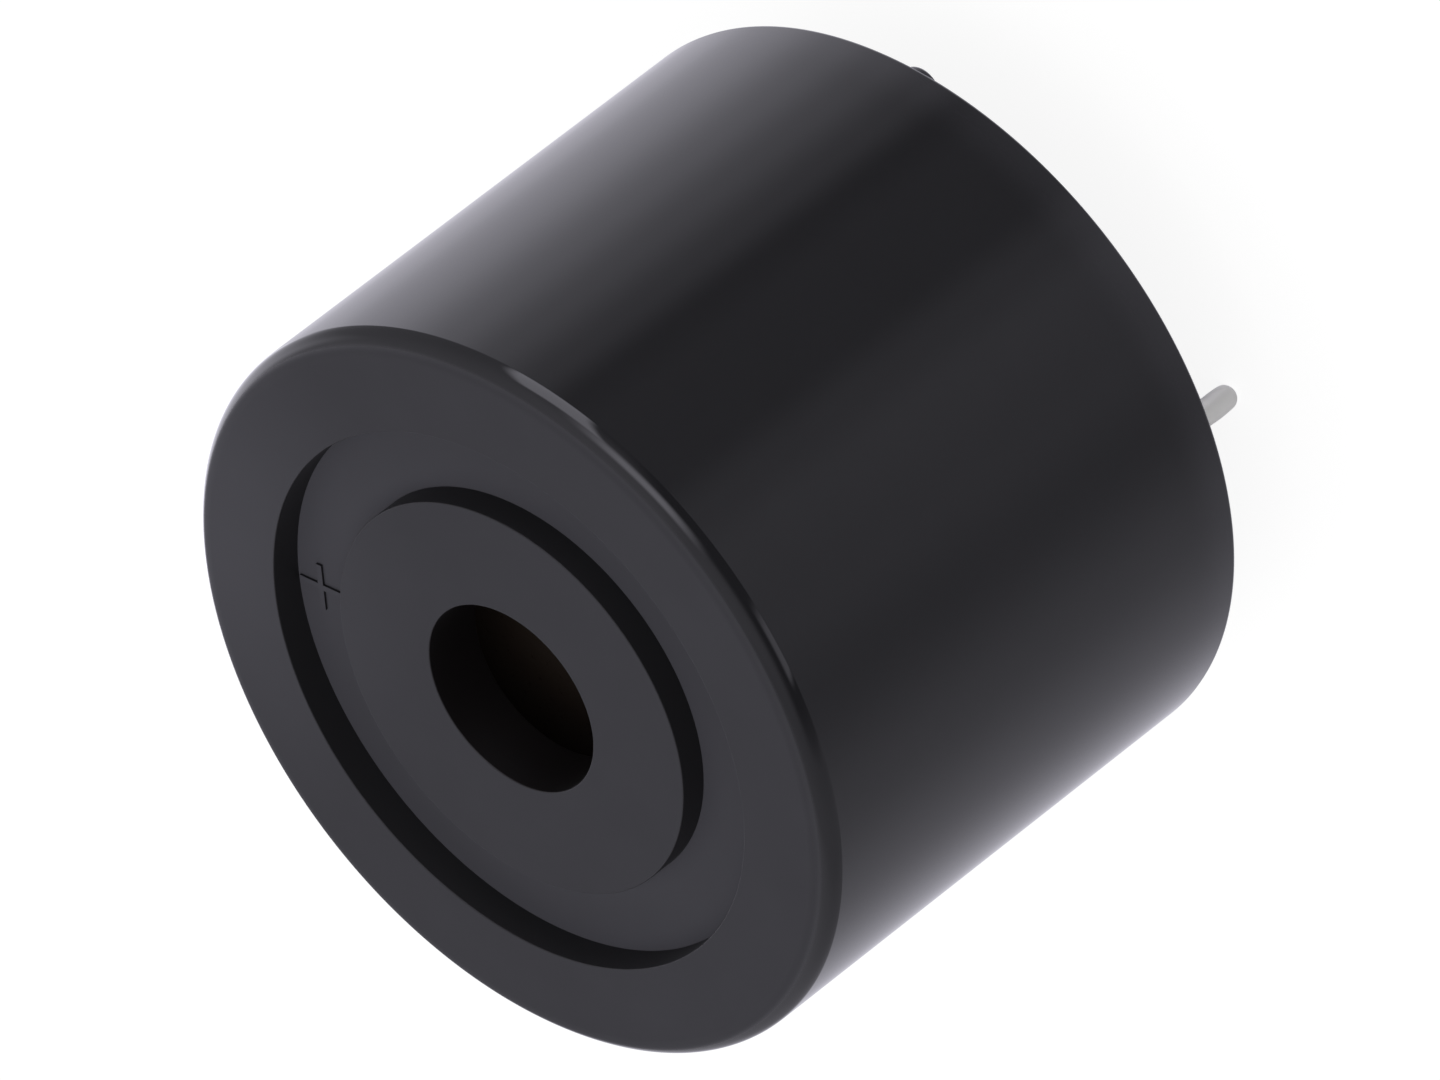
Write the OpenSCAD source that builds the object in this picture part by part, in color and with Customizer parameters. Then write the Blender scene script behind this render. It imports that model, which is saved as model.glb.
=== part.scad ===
// Self-drive piezo buzzer for a circuit board: a moulded cup with a sound port in
// its face, a brass and ceramic sounder behind the port, and the driver board
// potted into the open end. Two round pins stand out of the potting.
//
// Frame: origin in the middle of the plane on which the two feet stand, +Z along
// the axis towards the sound port, +X towards the positive pin.

/* [Housing] */
// Outside diameter of the housing
body_d = 24; // [21.6:0.1:40]
// Length of the housing from its rear rim to its face
body_h = 18.15; // [17:0.05:40]
// Thickness of the side wall round the potting
wall = 1.5; // [1.2:0.05:1.8]
// Thickness of the face plate
face_t = 2.2; // [1.8:0.1:3]
// Radius of the edge round the face
edge_r = 0.7; // [0.2:0.05:1]
// Chamfer of the rear rim, inside and outside
rim_chamfer = 0.15; // [0.05:0.05:0.4]
// Chamfer that softens the edges of the port and the groove
soft_edge = 0.08; // [0.02:0.01:0.14]
// Diameter of the sound port
port_d = 6.2; // [2:0.1:10]
// Inside diameter of the ring groove in the face
groove_id = 13; // [11:0.1:13.5]
// Outside diameter of the ring groove in the face
groove_od = 17.8; // [17.2:0.1:20]
// Depth of the ring groove
groove_depth = 1.05; // [0.4:0.05:1.4]
// How far the disc inside the groove lies below the face
boss_drop = 0.15; // [0.05:0.05:0.3]
// Length of each stroke of the plus mark
mark_len = 1.6; // [1:0.1:2]
// Width of the strokes of the plus mark
mark_w = 0.2; // [0.14:0.02:0.6]
// Height of the plus mark above the floor of the groove
mark_h = 0.08; // [0.04:0.02:0.3]
// Gap between the plus mark and the outer wall of the groove
mark_gap = 0.1; // [0.05:0.05:0.3]
// Angle of the plus mark from the line through the pins
mark_turn = 2; // [-5:0.5:5]
// Depth of the sound chamber between the face plate and the sounder
chamber_depth = 3.2; // [1:0.1:4]
// Width of the ring that the sounder's brass plate is seated on
seat_w = 1.2; // [0.8:0.1:2]
// Width of the ring that the driver board is seated on
ledge_w = 0.4; // [0.3:0.05:0.8]

/* [Feet] */
// Diameter of the feet
foot_d = 1.4; // [1.2:0.1:1.5]
// Height of the feet below the rear rim
foot_h = 0.6; // [0.3:0.05:1.5]
// Distance from the side of a foot to the outside of the housing
foot_inset = 0.5; // [0.35:0.05:0.55]
// Angle of the line through the feet from the Y axis
foot_turn = 2.2; // [-5:0.1:5]
// Chamfer round the end of each foot
foot_chamfer = 0.12; // [0.05:0.01:0.3]

/* [Sounder] */
// Gap round the brass plate
plate_gap = 0.1; // [0.05:0.05:0.3]
// Thickness of the brass plate
plate_t = 0.2; // [0.1:0.05:0.4]
// Diameter of the ceramic disc
ceramic_d = 14; // [13.4:0.1:14.4]
// Thickness of the ceramic disc
ceramic_t = 0.22; // [0.1:0.01:0.4]
// Diameter of the silver on the ceramic
silver_d = 13; // [12:0.1:13.3]
// Thickness of the silver
silver_t = 0.05; // [0.02:0.01:0.1]
// Diameter of the round end of the feedback electrode
tongue_d = 3.4; // [2.4:0.1:4]
// Width of the neck of the feedback electrode
neck_w = 1.6; // [0.8:0.1:2.2]
// Distance from the axis to the round end of the feedback electrode
tongue_x = 4.2; // [3.6:0.1:4.4]
// Bare gap between the two electrodes
silver_gap = 0.35; // [0.2:0.05:0.6]
// Width and height of the sealant bead behind the brass plate
bead_w = 0.8; // [0.5:0.05:1]
// Diameter of the ball that a solder dot on the ceramic is cut from
dot_ball_d = 2; // [1.6:0.1:2.2]
// Height of a solder dot on the sounder
dot_h = 0.65; // [0.4:0.05:0.8]
// Bare brass on each side of the solder dot between the ceramic and the sealant
dot_gap = 0.2; // [0.1:0.05:0.3]

/* [Board and potting] */
// Thickness of the board
board_t = 1; // [0.6:0.1:1.6]
// Gap round the board and round the key ribs in it
board_gap = 0.1; // [0.05:0.05:0.3]
// Gap round a lead in its hole in the board
hole_gap = 0.1; // [0.05:0.01:0.15]
// Thickness of the copper
copper_t = 0.05; // [0.03:0.01:0.1]
// Width of a copper track
track_w = 0.6; // [0.3:0.05:0.7]
// Distance from the edge of the board to the middle of a track along it
track_inset = 0.8; // [0.5:0.1:1]
// Distance from a hole to the corners of a track that goes round it
track_detour = 1.5; // [1.2:0.1:1.8]
// Diameter of the copper pad round a lead
pad_d = 1.1; // [0.9:0.05:1.15]
// Diameter of the copper pad round a pin
pin_pad_d = 2; // [1.8:0.1:2.1]
// Height of the solder cone on a lead
solder_h = 0.8; // [0.4:0.05:1]
// Bare rim of each pad round its solder
solder_rim = 0.05; // [0.03:0.01:0.1]
// Wall of the solder round the lead at the tip of the cone
solder_tip = 0.1; // [0.05:0.01:0.15]
// How far the leads stand out of the solder
lead_end = 0.2; // [0.1:0.05:0.5]
// Thickness of the potting behind the copper
potting_t = 2.4; // [1.8:0.1:4]
// Depth of the potting's surface inside the rear rim
potting_recess = 0.5; // [0.2:0.05:1]

/* [Pins] */
// Diameter of the pins outside the potting
pin_d = 0.8; // [0.5:0.05:0.9]
// Diameter of the pins inside the potting and the board
pin_root_d = 1.2; // [1:0.05:1.3]
// Distance between the pins
pin_pitch = 15; // [14.6:0.1:15.4]
// Length of the pins below the feet
pin_len = 4.6; // [2:0.1:12]
// Diameter of the head of a pin
pin_head_d = 1.8; // [1.6:0.1:2.1]
// Thickness of the head of a pin
pin_head_h = 0.35; // [0.2:0.05:0.6]

/* [Wires and leads] */
// Diameter of the leads of the components
lead_d = 0.45; // [0.3:0.05:0.5]
// Diameter of an insulated wire
wire_d = 0.9; // [0.6:0.05:1]
// Diameter of the bare end of a wire
wire_core_d = 0.4; // [0.25:0.05:0.5]
// Radius of the bends in a wire
wire_bend_r = 1; // [0.6:0.1:1.1]
// Slope of a wire between its bends, from upright
wire_slope = 45; // [40:1:50]

/* [Components] */
// Diameter of the transistor's round side
transistor_d = 4.6; // [4:0.1:5]
// Distance from the transistor's axis to its flat side
transistor_flat = 1.25; // [1:0.05:1.6]
// Height of the transistor's body
transistor_h = 4.6; // [3.5:0.1:5]
// Height of the transistor's body above the board
transistor_lift = 1.2; // [0.5:0.1:2]
// Distance between the legs of the transistor
transistor_pitch = 1.27; // [1.22:0.01:1.4]
// Diameter of the coil's core at its flanges
coil_d = 6; // [5:0.1:6.4]
// Height of the coil's core
coil_h = 6; // [4:0.1:6.4]
// Thickness of the flanges of the coil's core
flange_t = 1; // [0.6:0.1:1.5]
// Diameter of the coil's core inside the winding
coil_neck_d = 2.8; // [2:0.1:3.5]
// Diameter of the coil's winding
winding_d = 5.4; // [4.2:0.1:5.6]
// Distance between the legs of the coil
coil_pitch = 3; // [2:0.1:4]
// Length of a resistor's body
resistor_l = 3.3; // [2.8:0.1:3.6]
// Diameter of a resistor's end caps
resistor_d = 1.9; // [1.5:0.1:2.1]
// Depth of a resistor's waist below its end caps
resistor_waist = 0.15; // [0.05:0.05:0.3]
// Length of a resistor's end caps
resistor_cap = 0.85; // [0.5:0.05:1.2]
// Distance between the leads of a resistor in the board
resistor_pitch = 5.6; // [5.4:0.1:5.8]
// Length of the diode's body
diode_l = 3.8; // [3:0.1:4.2]
// Diameter of the diode's body
diode_d = 1.8; // [1.4:0.1:2]
// Distance between the leads of the diode in the board
diode_pitch = 6.2; // [6:0.1:6.4]
// Radius of the bend in a lead that lies along the board
lead_bend_r = 0.7; // [0.5:0.05:0.8]
// Width of the capacitor
capacitor_w = 4; // [3.4:0.1:4.4]
// Thickness of the capacitor
capacitor_t = 2.2; // [1.5:0.1:2.4]
// Height of the capacitor's body
capacitor_h = 3.8; // [3:0.1:5]
// Radius of the corners of the capacitor
capacitor_r = 0.9; // [0.4:0.1:1.2]
// Height of the capacitor's body above the board
capacitor_lift = 0.6; // [0.3:0.1:1.5]
// Distance between the legs of the capacitor
capacitor_pitch = 2.54; // [2:0.01:2.8]

/* [Board layout] */
// Distance from the middle of the board to the transistor
transistor_y = 2.9; // [2.7:0.1:3.3]
// Distance from the middle of the board to the coil
coil_y = 4.2; // [3.8:0.1:4.4]
// Distance from the middle of the board to the bias resistor
bias_y = 7.3; // [7:0.1:7.5]
// Distance along X to the middle of each resistor beside the transistor
side_resistor_x = 5.6; // [5.4:0.1:5.8]
// Distance along Y to the middle of each resistor beside the transistor
side_resistor_y = 4.4; // [4.2:0.1:4.6]
// Distance along X to the middle of the diode and of the capacitor
side_part_x = 5.9; // [5.8:0.1:6.1]
// Distance along Y to the middle of the diode and of the capacitor
side_part_y = 4.3; // [4.1:0.1:4.5]
// Distance along X to the solder dot of the main wire
main_dot_x = 3.4; // [3:0.1:3.8]
// Distance along Y to the solder dot of the main wire
main_dot_y = 1.6; // [1.2:0.1:2]
// Distance along X to the hole of the main wire
main_hole_x = 4.2; // [3.8:0.1:4.4]
// Distance along Y to the hole of the main wire
main_hole_y = 0.4; // [0:0.1:0.8]
// Distance along X to the hole of the feedback wire
feedback_hole_x = 4; // [3.8:0.1:4.4]
// Distance along Y to the hole of the feedback wire
feedback_hole_y = 1.2; // [1:0.1:1.5]
// Distance along X to the hole of the ground wire
ground_hole_x = 1.5; // [1.2:0.1:1.8]
// Distance along Y to the hole of the ground wire
ground_hole_y = 8; // [7.8:0.1:8.2]

/* [Hidden] */

$fn = 96;
// What a cut runs past the piece, so that no skin is left
past = 1;
// Sides of a wire, and steps in each of its bends
wire_sides = 12;
bend_steps = 6;
// Sides of the discs at the ends and corners of a track
track_sides = 12;

// Radii from the outside of the housing inwards
body_r = body_d / 2;
pocket_r = body_r - wall;
bore_r = pocket_r - ledge_w;
plate_r = bore_r - plate_gap;
chamber_r = plate_r - seat_w;
port_r = port_d / 2;
board_r = pocket_r - board_gap;
foot_r = foot_d / 2;
foot_place_r = body_r - foot_inset - foot_r;
mark_x = groove_od / 2 - mark_gap - mark_len / 2;

// Heights from the feet upwards
rim_z = foot_h;
potting_z = rim_z + potting_recess;
copper_z = potting_z + potting_t;
board_z = copper_z + copper_t;
lead_z = copper_z - solder_h - lead_end;
board_top_z = board_z + board_t;
face_z = rim_z + body_h;
boss_z = face_z - boss_drop;
groove_z = face_z - groove_depth;
chamber_top_z = face_z - face_t;
seat_z = chamber_top_z - chamber_depth;
plate_z = seat_z - plate_t;
ceramic_z = plate_z - ceramic_t;
silver_z = ceramic_z - silver_t;

// Radii of small round things
pin_r = pin_d / 2;
root_r = pin_root_d / 2;
lead_r = lead_d / 2;
wire_r = wire_d / 2;
core_r = wire_core_d / 2;
resistor_r = resistor_d / 2;
diode_r = diode_d / 2;

// Places of the components on the board, and how far they are turned
transistor_at = [0, transistor_y];
coil_at = [0, -coil_y];
bias_at = [0, bias_y];
bias_turn = 0;
feedback_at = [-side_resistor_x, side_resistor_y];
feedback_turn = 52;
load_at = [side_resistor_x, side_resistor_y];
load_turn = 128;
diode_at = [side_part_x, -side_part_y];
diode_turn = 54;
capacitor_at = [-side_part_x, -side_part_y];
capacitor_turn = 126;
main_hole = [main_hole_x, main_hole_y];
feedback_hole = [-feedback_hole_x, -feedback_hole_y];
ground_hole = [ground_hole_x, -ground_hole_y];

// Places of the solder dots on the sounder
ground_turn = -70;
main_dot = [main_dot_x, -main_dot_y];
feedback_dot = [-tongue_x, 0];
bare_in_r = ceramic_d / 2;
bare_out_r = bore_r - bead_w;
ground_dot = (bare_in_r + bare_out_r) / 2 * [cos(ground_turn), sin(ground_turn)];
ground_dot_r = (bare_out_r - bare_in_r) / 2 - dot_gap;
ground_ball_d = (pow(ground_dot_r, 2) + pow(dot_h, 2)) / dot_h;

// The middle of the foot on one side
function foot_at(side) = side * foot_place_r * [sin(foot_turn), cos(foot_turn)];

// The two ends of a pair of leads
function ends(at, turn, pitch) =
    [for (side = [-1, 1]) at + side * pitch / 2 * [cos(turn), sin(turn)]];

pin_ends = ends([0, 0], 0, pin_pitch);
coil_ends = ends(coil_at, 0, coil_pitch);
bias_ends = ends(bias_at, bias_turn, resistor_pitch);
feedback_ends = ends(feedback_at, feedback_turn, resistor_pitch);
load_ends = ends(load_at, load_turn, resistor_pitch);
diode_ends = ends(diode_at, diode_turn, diode_pitch);
capacitor_ends = ends(capacitor_at, capacitor_turn, capacitor_pitch);
transistor_ends = [for (n = [-1:1]) transistor_at + [n * transistor_pitch, 0]];
emitter = transistor_ends[0];
base = transistor_ends[1];
collector = transistor_ends[2];
lead_holes = concat(coil_ends, bias_ends, feedback_ends, load_ends, diode_ends,
                    capacitor_ends, transistor_ends);
wire_holes = [main_hole, feedback_hole, ground_hole];

// A point on the lane for tracks along the edge of the board
function at_edge(turn) = (board_r - track_inset) * [cos(turn), sin(turn)];

// The lane for a track on the inner side of a pin's pad
lane_x = (pin_pitch - pin_pad_d) / 2 - track_w;
lane_y = (pin_pad_d + track_w) / 2;

// Each copper track, as the points it runs through
tracks = [
    // Supply, from the positive pin through the diode to coil and resistors
    [pin_ends[1], diode_ends[1]],
    [diode_ends[0], coil_at - [0, track_detour], coil_ends[0], capacitor_ends[0]],
    [diode_ends[0], [lane_x, -lane_y], [lane_x, lane_y], load_ends[0], at_edge(35),
     at_edge(57), bias_ends[1]],
    // Ground, from the negative pin to capacitor, brass plate and emitter
    [pin_ends[0], capacitor_ends[1], at_edge(215), at_edge(235), at_edge(255), ground_hole],
    [pin_ends[0], feedback_hole - [track_detour, track_detour],
     feedback_hole + [track_detour, -track_detour], emitter],
    // Collector, to the main electrode, the coil and the load resistor
    [load_ends[1], collector, main_hole, coil_ends[1]],
    // Base, to its two resistors, and the feedback wire to the second of them
    [feedback_ends[1], bias_ends[0], base],
    [feedback_ends[0], feedback_hole]
];

// A round bar along Z between two heights
module bar(at, from_z, to_z, r) {
    translate([at[0], at[1], from_z])
        cylinder(h = to_z - from_z, r = r);
}

// Part of a ring in the XZ plane, from one angle on
module arc_bar(centre, bend_r, from, sweep, r) {
    translate([centre[0], 0, centre[1]])
        rotate([90, 0, 0])
            rotate([0, 0, from])
                rotate_extrude(angle = sweep)
                    translate([bend_r, 0])
                        circle(r);
}

// The key ribs in the potting pocket, which end in the two feet
module key_ribs(r) {
    for (side = [-1, 1])
        bar(foot_at(side), rim_z - past, board_top_z, r);
}

module foot(side) {
    translate(foot_at(side)) {
        cylinder(h = foot_chamfer, r1 = foot_r - foot_chamfer, r2 = foot_r);
        translate([0, 0, foot_chamfer])
            cylinder(h = board_top_z - foot_chamfer, r = foot_r);
    }
}

// Half of the cup's section, from the port to the rim and back
module cup_section() {
    polygon([
        [port_r, chamber_top_z],
        [port_r, boss_z - soft_edge],
        [port_r + soft_edge, boss_z],
        [groove_id / 2 - soft_edge, boss_z],
        [groove_id / 2, boss_z - soft_edge],
        [groove_id / 2, groove_z],
        [groove_od / 2, groove_z],
        [groove_od / 2, face_z - soft_edge],
        [groove_od / 2 + soft_edge, face_z],
        [body_r - edge_r, face_z],
        [body_r, face_z - edge_r],
        [body_r, rim_z + rim_chamfer],
        [body_r - rim_chamfer, rim_z],
        [pocket_r + rim_chamfer, rim_z],
        [pocket_r, rim_z + rim_chamfer],
        [pocket_r, board_top_z],
        [bore_r, board_top_z],
        [bore_r, seat_z],
        [chamber_r, seat_z],
        [chamber_r, chamber_top_z]
    ]);
    translate([body_r - edge_r, face_z - edge_r])
        circle(edge_r);
}

module plus_mark() {
    rotate(mark_turn)
        translate([mark_x, 0, groove_z - mark_h])
            linear_extrude(2 * mark_h)
                for (turn = [0, 90])
                    rotate(turn)
                        square([mark_len, mark_w], center = true);
}

module housing() {
    color("#1b1b1f") {
        rotate_extrude()
            cup_section();
        foot(-1);
        foot(1);
        plus_mark();
    }
}

module diaphragm_plate() {
    color("#c9a253")
        bar([0, 0], plate_z, seat_z, plate_r);
}

module piezo_ceramic() {
    color("#e2ddcf")
        bar([0, 0], ceramic_z, plate_z, ceramic_d / 2);
}

// Outline of the feedback electrode, wider by a margin on every side
module tongue_outline(margin) {
    translate([-tongue_x, 0])
        circle(tongue_d / 2 + margin);
    translate([-silver_d / 2 - past, -neck_w / 2 - margin])
        square([silver_d / 2 + past - tongue_x, neck_w + 2 * margin]);
}

module main_electrode() {
    color("#cfd1d3")
        translate([0, 0, silver_z])
            linear_extrude(silver_t)
                difference() {
                    circle(silver_d / 2);
                    tongue_outline(silver_gap);
                }
}

module feedback_electrode() {
    color("#cfd1d3")
        translate([0, 0, silver_z])
            linear_extrude(silver_t)
                intersection() {
                    circle(silver_d / 2);
                    tongue_outline(0);
                }
}

// Quarter-round bead in the corner between the brass plate and the bore
module sealant_bead() {
    color("#dcdcd8")
        rotate_extrude()
            intersection() {
                translate([bore_r, plate_z])
                    circle(bead_w);
                translate([bore_r - bead_w, plate_z - bead_w])
                    square(bead_w);
            }
}

// Dome of solder that hangs from a surface, with the bare wire in it
module solder_dot(at, surface_z, ball_d) {
    difference() {
        translate([at[0], at[1], surface_z - dot_h + ball_d / 2])
            sphere(d = ball_d);
        translate([at[0] - ball_d, at[1] - ball_d, surface_z])
            cube(2 * ball_d);
        bar(at, surface_z - ball_d, surface_z + past, core_r);
    }
}

module sounder_solder() {
    color("#b9bcc0") {
        solder_dot(main_dot, silver_z, dot_ball_d);
        solder_dot(feedback_dot, silver_z, dot_ball_d);
        solder_dot(ground_dot, plate_z, ground_ball_d);
    }
}

// Rings of a wire that lies in the XZ plane, as [x, z, slope, radius]: down from its
// solder dot, across on a slant and down into its hole in the board
function wire_rings(run, surface_z) =
    let(top_z = surface_z - dot_h,
        side_step = wire_bend_r * (1 - cos(wire_slope)),
        drop = wire_bend_r * sin(wire_slope),
        slant_drop = (run - 2 * side_step) / tan(wire_slope),
        straight = (top_z - board_top_z - 2 * drop - slant_drop) / 2)
    concat(
        [[0, surface_z, 0, core_r], [0, top_z, 0, core_r], [0, top_z, 0, wire_r]],
        [for (n = [0:bend_steps])
            let(slope = wire_slope * n / bend_steps)
            [wire_bend_r * (1 - cos(slope)), top_z - straight - wire_bend_r * sin(slope),
             slope, wire_r]],
        [for (n = [bend_steps:-1:0])
            let(slope = wire_slope * n / bend_steps)
            [run - wire_bend_r * (1 - cos(slope)),
             board_top_z + straight + wire_bend_r * sin(slope), slope, wire_r]],
        [[run, board_top_z, 0, wire_r], [run, board_top_z, 0, core_r],
         [run, lead_z, 0, core_r]]);

// Wire from a solder dot to its hole, as one swept tube with bare ends
module wire(dot, hole, surface_z) {
    rings = wire_rings(norm(hole - dot), surface_z);
    last = len(rings) - 1;
    points = [for (ring = rings, side = [0:wire_sides - 1])
        let(around = 360 * side / wire_sides)
        [ring[0] + ring[3] * cos(around) * cos(ring[2]),
         ring[3] * sin(around),
         ring[1] + ring[3] * cos(around) * sin(ring[2])]];
    walls = [for (n = [0:last - 1], side = [0:wire_sides - 1])
        let(next = (side + 1) % wire_sides)
        [n * wire_sides + side, n * wire_sides + next,
         (n + 1) * wire_sides + next, (n + 1) * wire_sides + side]];
    top = [for (side = [wire_sides - 1:-1:0]) side];
    bottom = [for (side = [0:wire_sides - 1]) last * wire_sides + side];
    translate([dot[0], dot[1], 0])
        rotate(atan2(hole[1] - dot[1], hole[0] - dot[0]))
            polyhedron(points, concat([top], walls, [bottom]));
}

module main_wire() {
    color("#b3211c")
        wire(main_dot, main_hole, silver_z);
}

module feedback_wire() {
    color("#2250a8")
        wire(feedback_dot, feedback_hole, silver_z);
}

module ground_wire() {
    color("#222222")
        wire(ground_dot, ground_hole, plate_z);
}

module driver_board() {
    color("#b98a4a")
        difference() {
            bar([0, 0], board_z, board_top_z, board_r);
            key_ribs(foot_r + board_gap);
            for (hole = lead_holes)
                bar(hole, board_z - past, board_top_z + past, lead_r + hole_gap);
            for (hole = wire_holes)
                bar(hole, board_z - past, board_top_z + past, core_r + hole_gap);
            for (hole = pin_ends)
                bar(hole, board_z - past, board_top_z + past, root_r + hole_gap);
        }
}

// A track with a many-sided disc at each end and corner
module track(points) {
    for (n = [0:len(points) - 2]) {
        step = points[n + 1] - points[n];
        translate(points[n]) {
            circle(track_w / 2, $fn = track_sides);
            rotate(atan2(step[1], step[0]))
                translate([0, -track_w / 2])
                    square([norm(step), track_w]);
        }
    }
}

module copper_sheet() {
    difference() {
        union() {
            for (points = tracks)
                track(points);
            for (hole = concat(lead_holes, wire_holes))
                translate(hole)
                    circle(pad_d / 2);
            for (hole = pin_ends)
                translate(hole)
                    circle(pin_pad_d / 2);
        }
        for (hole = lead_holes)
            translate(hole)
                circle(lead_r + hole_gap);
        for (hole = wire_holes)
            translate(hole)
                circle(core_r + hole_gap);
        for (hole = pin_ends)
            translate(hole)
                circle(root_r + hole_gap);
    }
}

module copper_tracks() {
    color("#b87333")
        translate([0, 0, copper_z])
            linear_extrude(copper_t)
                copper_sheet();
}

module transistor() {
    color("#1c1c1c")
        translate([transistor_at[0], transistor_at[1], board_top_z + transistor_lift])
            difference() {
                cylinder(h = transistor_h, d = transistor_d);
                translate([-transistor_d, -transistor_flat - transistor_d, -past])
                    cube([2 * transistor_d, transistor_d, transistor_h + 2 * past]);
            }
}

module transistor_legs() {
    color("#c8c8cc")
        for (leg = transistor_ends)
            bar(leg, lead_z, board_top_z + transistor_lift, lead_r);
}

module coil_core() {
    color("#3b3b3d") {
        bar(coil_at, board_top_z, board_top_z + flange_t, coil_d / 2);
        bar(coil_at, board_top_z + flange_t, board_top_z + coil_h - flange_t, coil_neck_d / 2);
        bar(coil_at, board_top_z + coil_h - flange_t, board_top_z + coil_h, coil_d / 2);
    }
}

module coil_winding() {
    color("#b5642c")
        difference() {
            bar(coil_at, board_top_z + flange_t, board_top_z + coil_h - flange_t,
                winding_d / 2);
            bar(coil_at, board_top_z, board_top_z + coil_h, coil_neck_d / 2);
        }
}

module coil_legs() {
    color("#c8c8cc")
        for (leg = coil_ends)
            bar(leg, lead_z, board_top_z, lead_r);
}

// Moves a shape drawn along X at the board's surface to its place on the board
module on_board(at, turn) {
    translate([at[0], at[1], board_top_z])
        rotate(turn)
            children();
}

// Resistor body that lies along X on its end caps
module resistor_body() {
    translate([-resistor_l / 2, 0, resistor_r])
        rotate([0, 90, 0]) {
            cylinder(h = resistor_l, r = resistor_r - resistor_waist);
            cylinder(h = resistor_cap, r = resistor_r);
            translate([0, 0, resistor_l - resistor_cap])
                cylinder(h = resistor_cap, r = resistor_r);
        }
}

// The two bent leads of a body that lies along X with its axis at a height
module bent_leads(body_l, pitch, axis_z) {
    for (turn = [0, 180])
        rotate(turn) {
            translate([body_l / 2, 0, axis_z])
                rotate([0, 90, 0])
                    cylinder(h = (pitch - body_l) / 2 - lead_bend_r, r = lead_r);
            arc_bar([pitch / 2 - lead_bend_r, axis_z - lead_bend_r], lead_bend_r, 0, 90, lead_r);
            bar([pitch / 2, 0], lead_z - board_top_z, axis_z - lead_bend_r, lead_r);
        }
}

module bias_resistor() {
    color("#d8b98a")
        on_board(bias_at, bias_turn)
            resistor_body();
}

module feedback_resistor() {
    color("#d8b98a")
        on_board(feedback_at, feedback_turn)
            resistor_body();
}

module load_resistor() {
    color("#d8b98a")
        on_board(load_at, load_turn)
            resistor_body();
}

module resistor_leads() {
    color("#c8c8cc") {
        on_board(bias_at, bias_turn)
            bent_leads(resistor_l, resistor_pitch, resistor_r);
        on_board(feedback_at, feedback_turn)
            bent_leads(resistor_l, resistor_pitch, resistor_r);
        on_board(load_at, load_turn)
            bent_leads(resistor_l, resistor_pitch, resistor_r);
    }
}

module diode() {
    color("#c4572b")
        on_board(diode_at, diode_turn)
            translate([-diode_l / 2, 0, diode_r])
                rotate([0, 90, 0])
                    cylinder(h = diode_l, r = diode_r);
}

module diode_leads() {
    color("#c8c8cc")
        on_board(diode_at, diode_turn)
            bent_leads(diode_l, diode_pitch, diode_r);
}

// Outline of the capacitor with round corners, standing on the X axis
module capacitor_outline() {
    for (side = [-1, 1], z = [capacitor_r, capacitor_h - capacitor_r])
        translate([side * (capacitor_w / 2 - capacitor_r), z])
            circle(capacitor_r);
    translate([-capacitor_w / 2, capacitor_r])
        square([capacitor_w, capacitor_h - 2 * capacitor_r]);
    translate([-capacitor_w / 2 + capacitor_r, 0])
        square([capacitor_w - 2 * capacitor_r, capacitor_h]);
}

module capacitor() {
    color("#c99a2e")
        on_board(capacitor_at, capacitor_turn)
            translate([0, capacitor_t / 2, capacitor_lift])
                rotate([90, 0, 0])
                    linear_extrude(capacitor_t)
                        capacitor_outline();
}

module capacitor_legs() {
    color("#c8c8cc")
        for (leg = capacitor_ends)
            bar(leg, lead_z, board_top_z + capacitor_lift, lead_r);
}

// Solder cone under the board, from its pad to its tip
module solder_cone(at, r, base_r) {
    translate([at[0], at[1], copper_z - solder_h])
        cylinder(h = solder_h, r1 = r + solder_tip, r2 = base_r);
}

// All the solder cones, without the leads in them
module solder_cones() {
    for (hole = lead_holes)
        solder_cone(hole, lead_r, pad_d / 2 - solder_rim);
    for (hole = wire_holes)
        solder_cone(hole, core_r, pad_d / 2 - solder_rim);
    for (hole = pin_ends)
        solder_cone(hole, root_r, pin_pad_d / 2 - solder_rim);
}

// What stands in the solder cones and runs into the potting
module lead_bars() {
    for (hole = lead_holes)
        bar(hole, lead_z, board_z, lead_r);
    for (hole = wire_holes)
        bar(hole, lead_z, board_z, core_r);
    for (hole = pin_ends)
        bar(hole, potting_z - past, board_z, root_r);
}

module board_solder() {
    color("#b9bcc0")
        difference() {
            solder_cones();
            lead_bars();
        }
}

module potting() {
    color("#26262a")
        difference() {
            bar([0, 0], potting_z, copper_z, pocket_r);
            key_ribs(foot_r);
            solder_cones();
            lead_bars();
        }
}

// Round pin with a domed tip, a thicker root from the potting on, and a flat head
module pin(at) {
    bar(at, pin_r - pin_len, board_top_z, pin_r);
    bar(at, potting_z, board_top_z, root_r);
    bar(at, board_top_z, board_top_z + pin_head_h, pin_head_d / 2);
    translate([at[0], at[1], pin_r - pin_len])
        sphere(pin_r);
}

module positive_pin() {
    color("#d5d5d8")
        pin(pin_ends[1]);
}

module negative_pin() {
    color("#d5d5d8")
        pin(pin_ends[0]);
}

housing();
diaphragm_plate();
piezo_ceramic();
main_electrode();
feedback_electrode();
sealant_bead();
sounder_solder();
main_wire();
feedback_wire();
ground_wire();
driver_board();
copper_tracks();
transistor();
transistor_legs();
coil_core();
coil_winding();
coil_legs();
bias_resistor();
feedback_resistor();
load_resistor();
resistor_leads();
diode();
diode_leads();
capacitor();
capacitor_legs();
board_solder();
potting();
positive_pin();
negative_pin();
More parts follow.
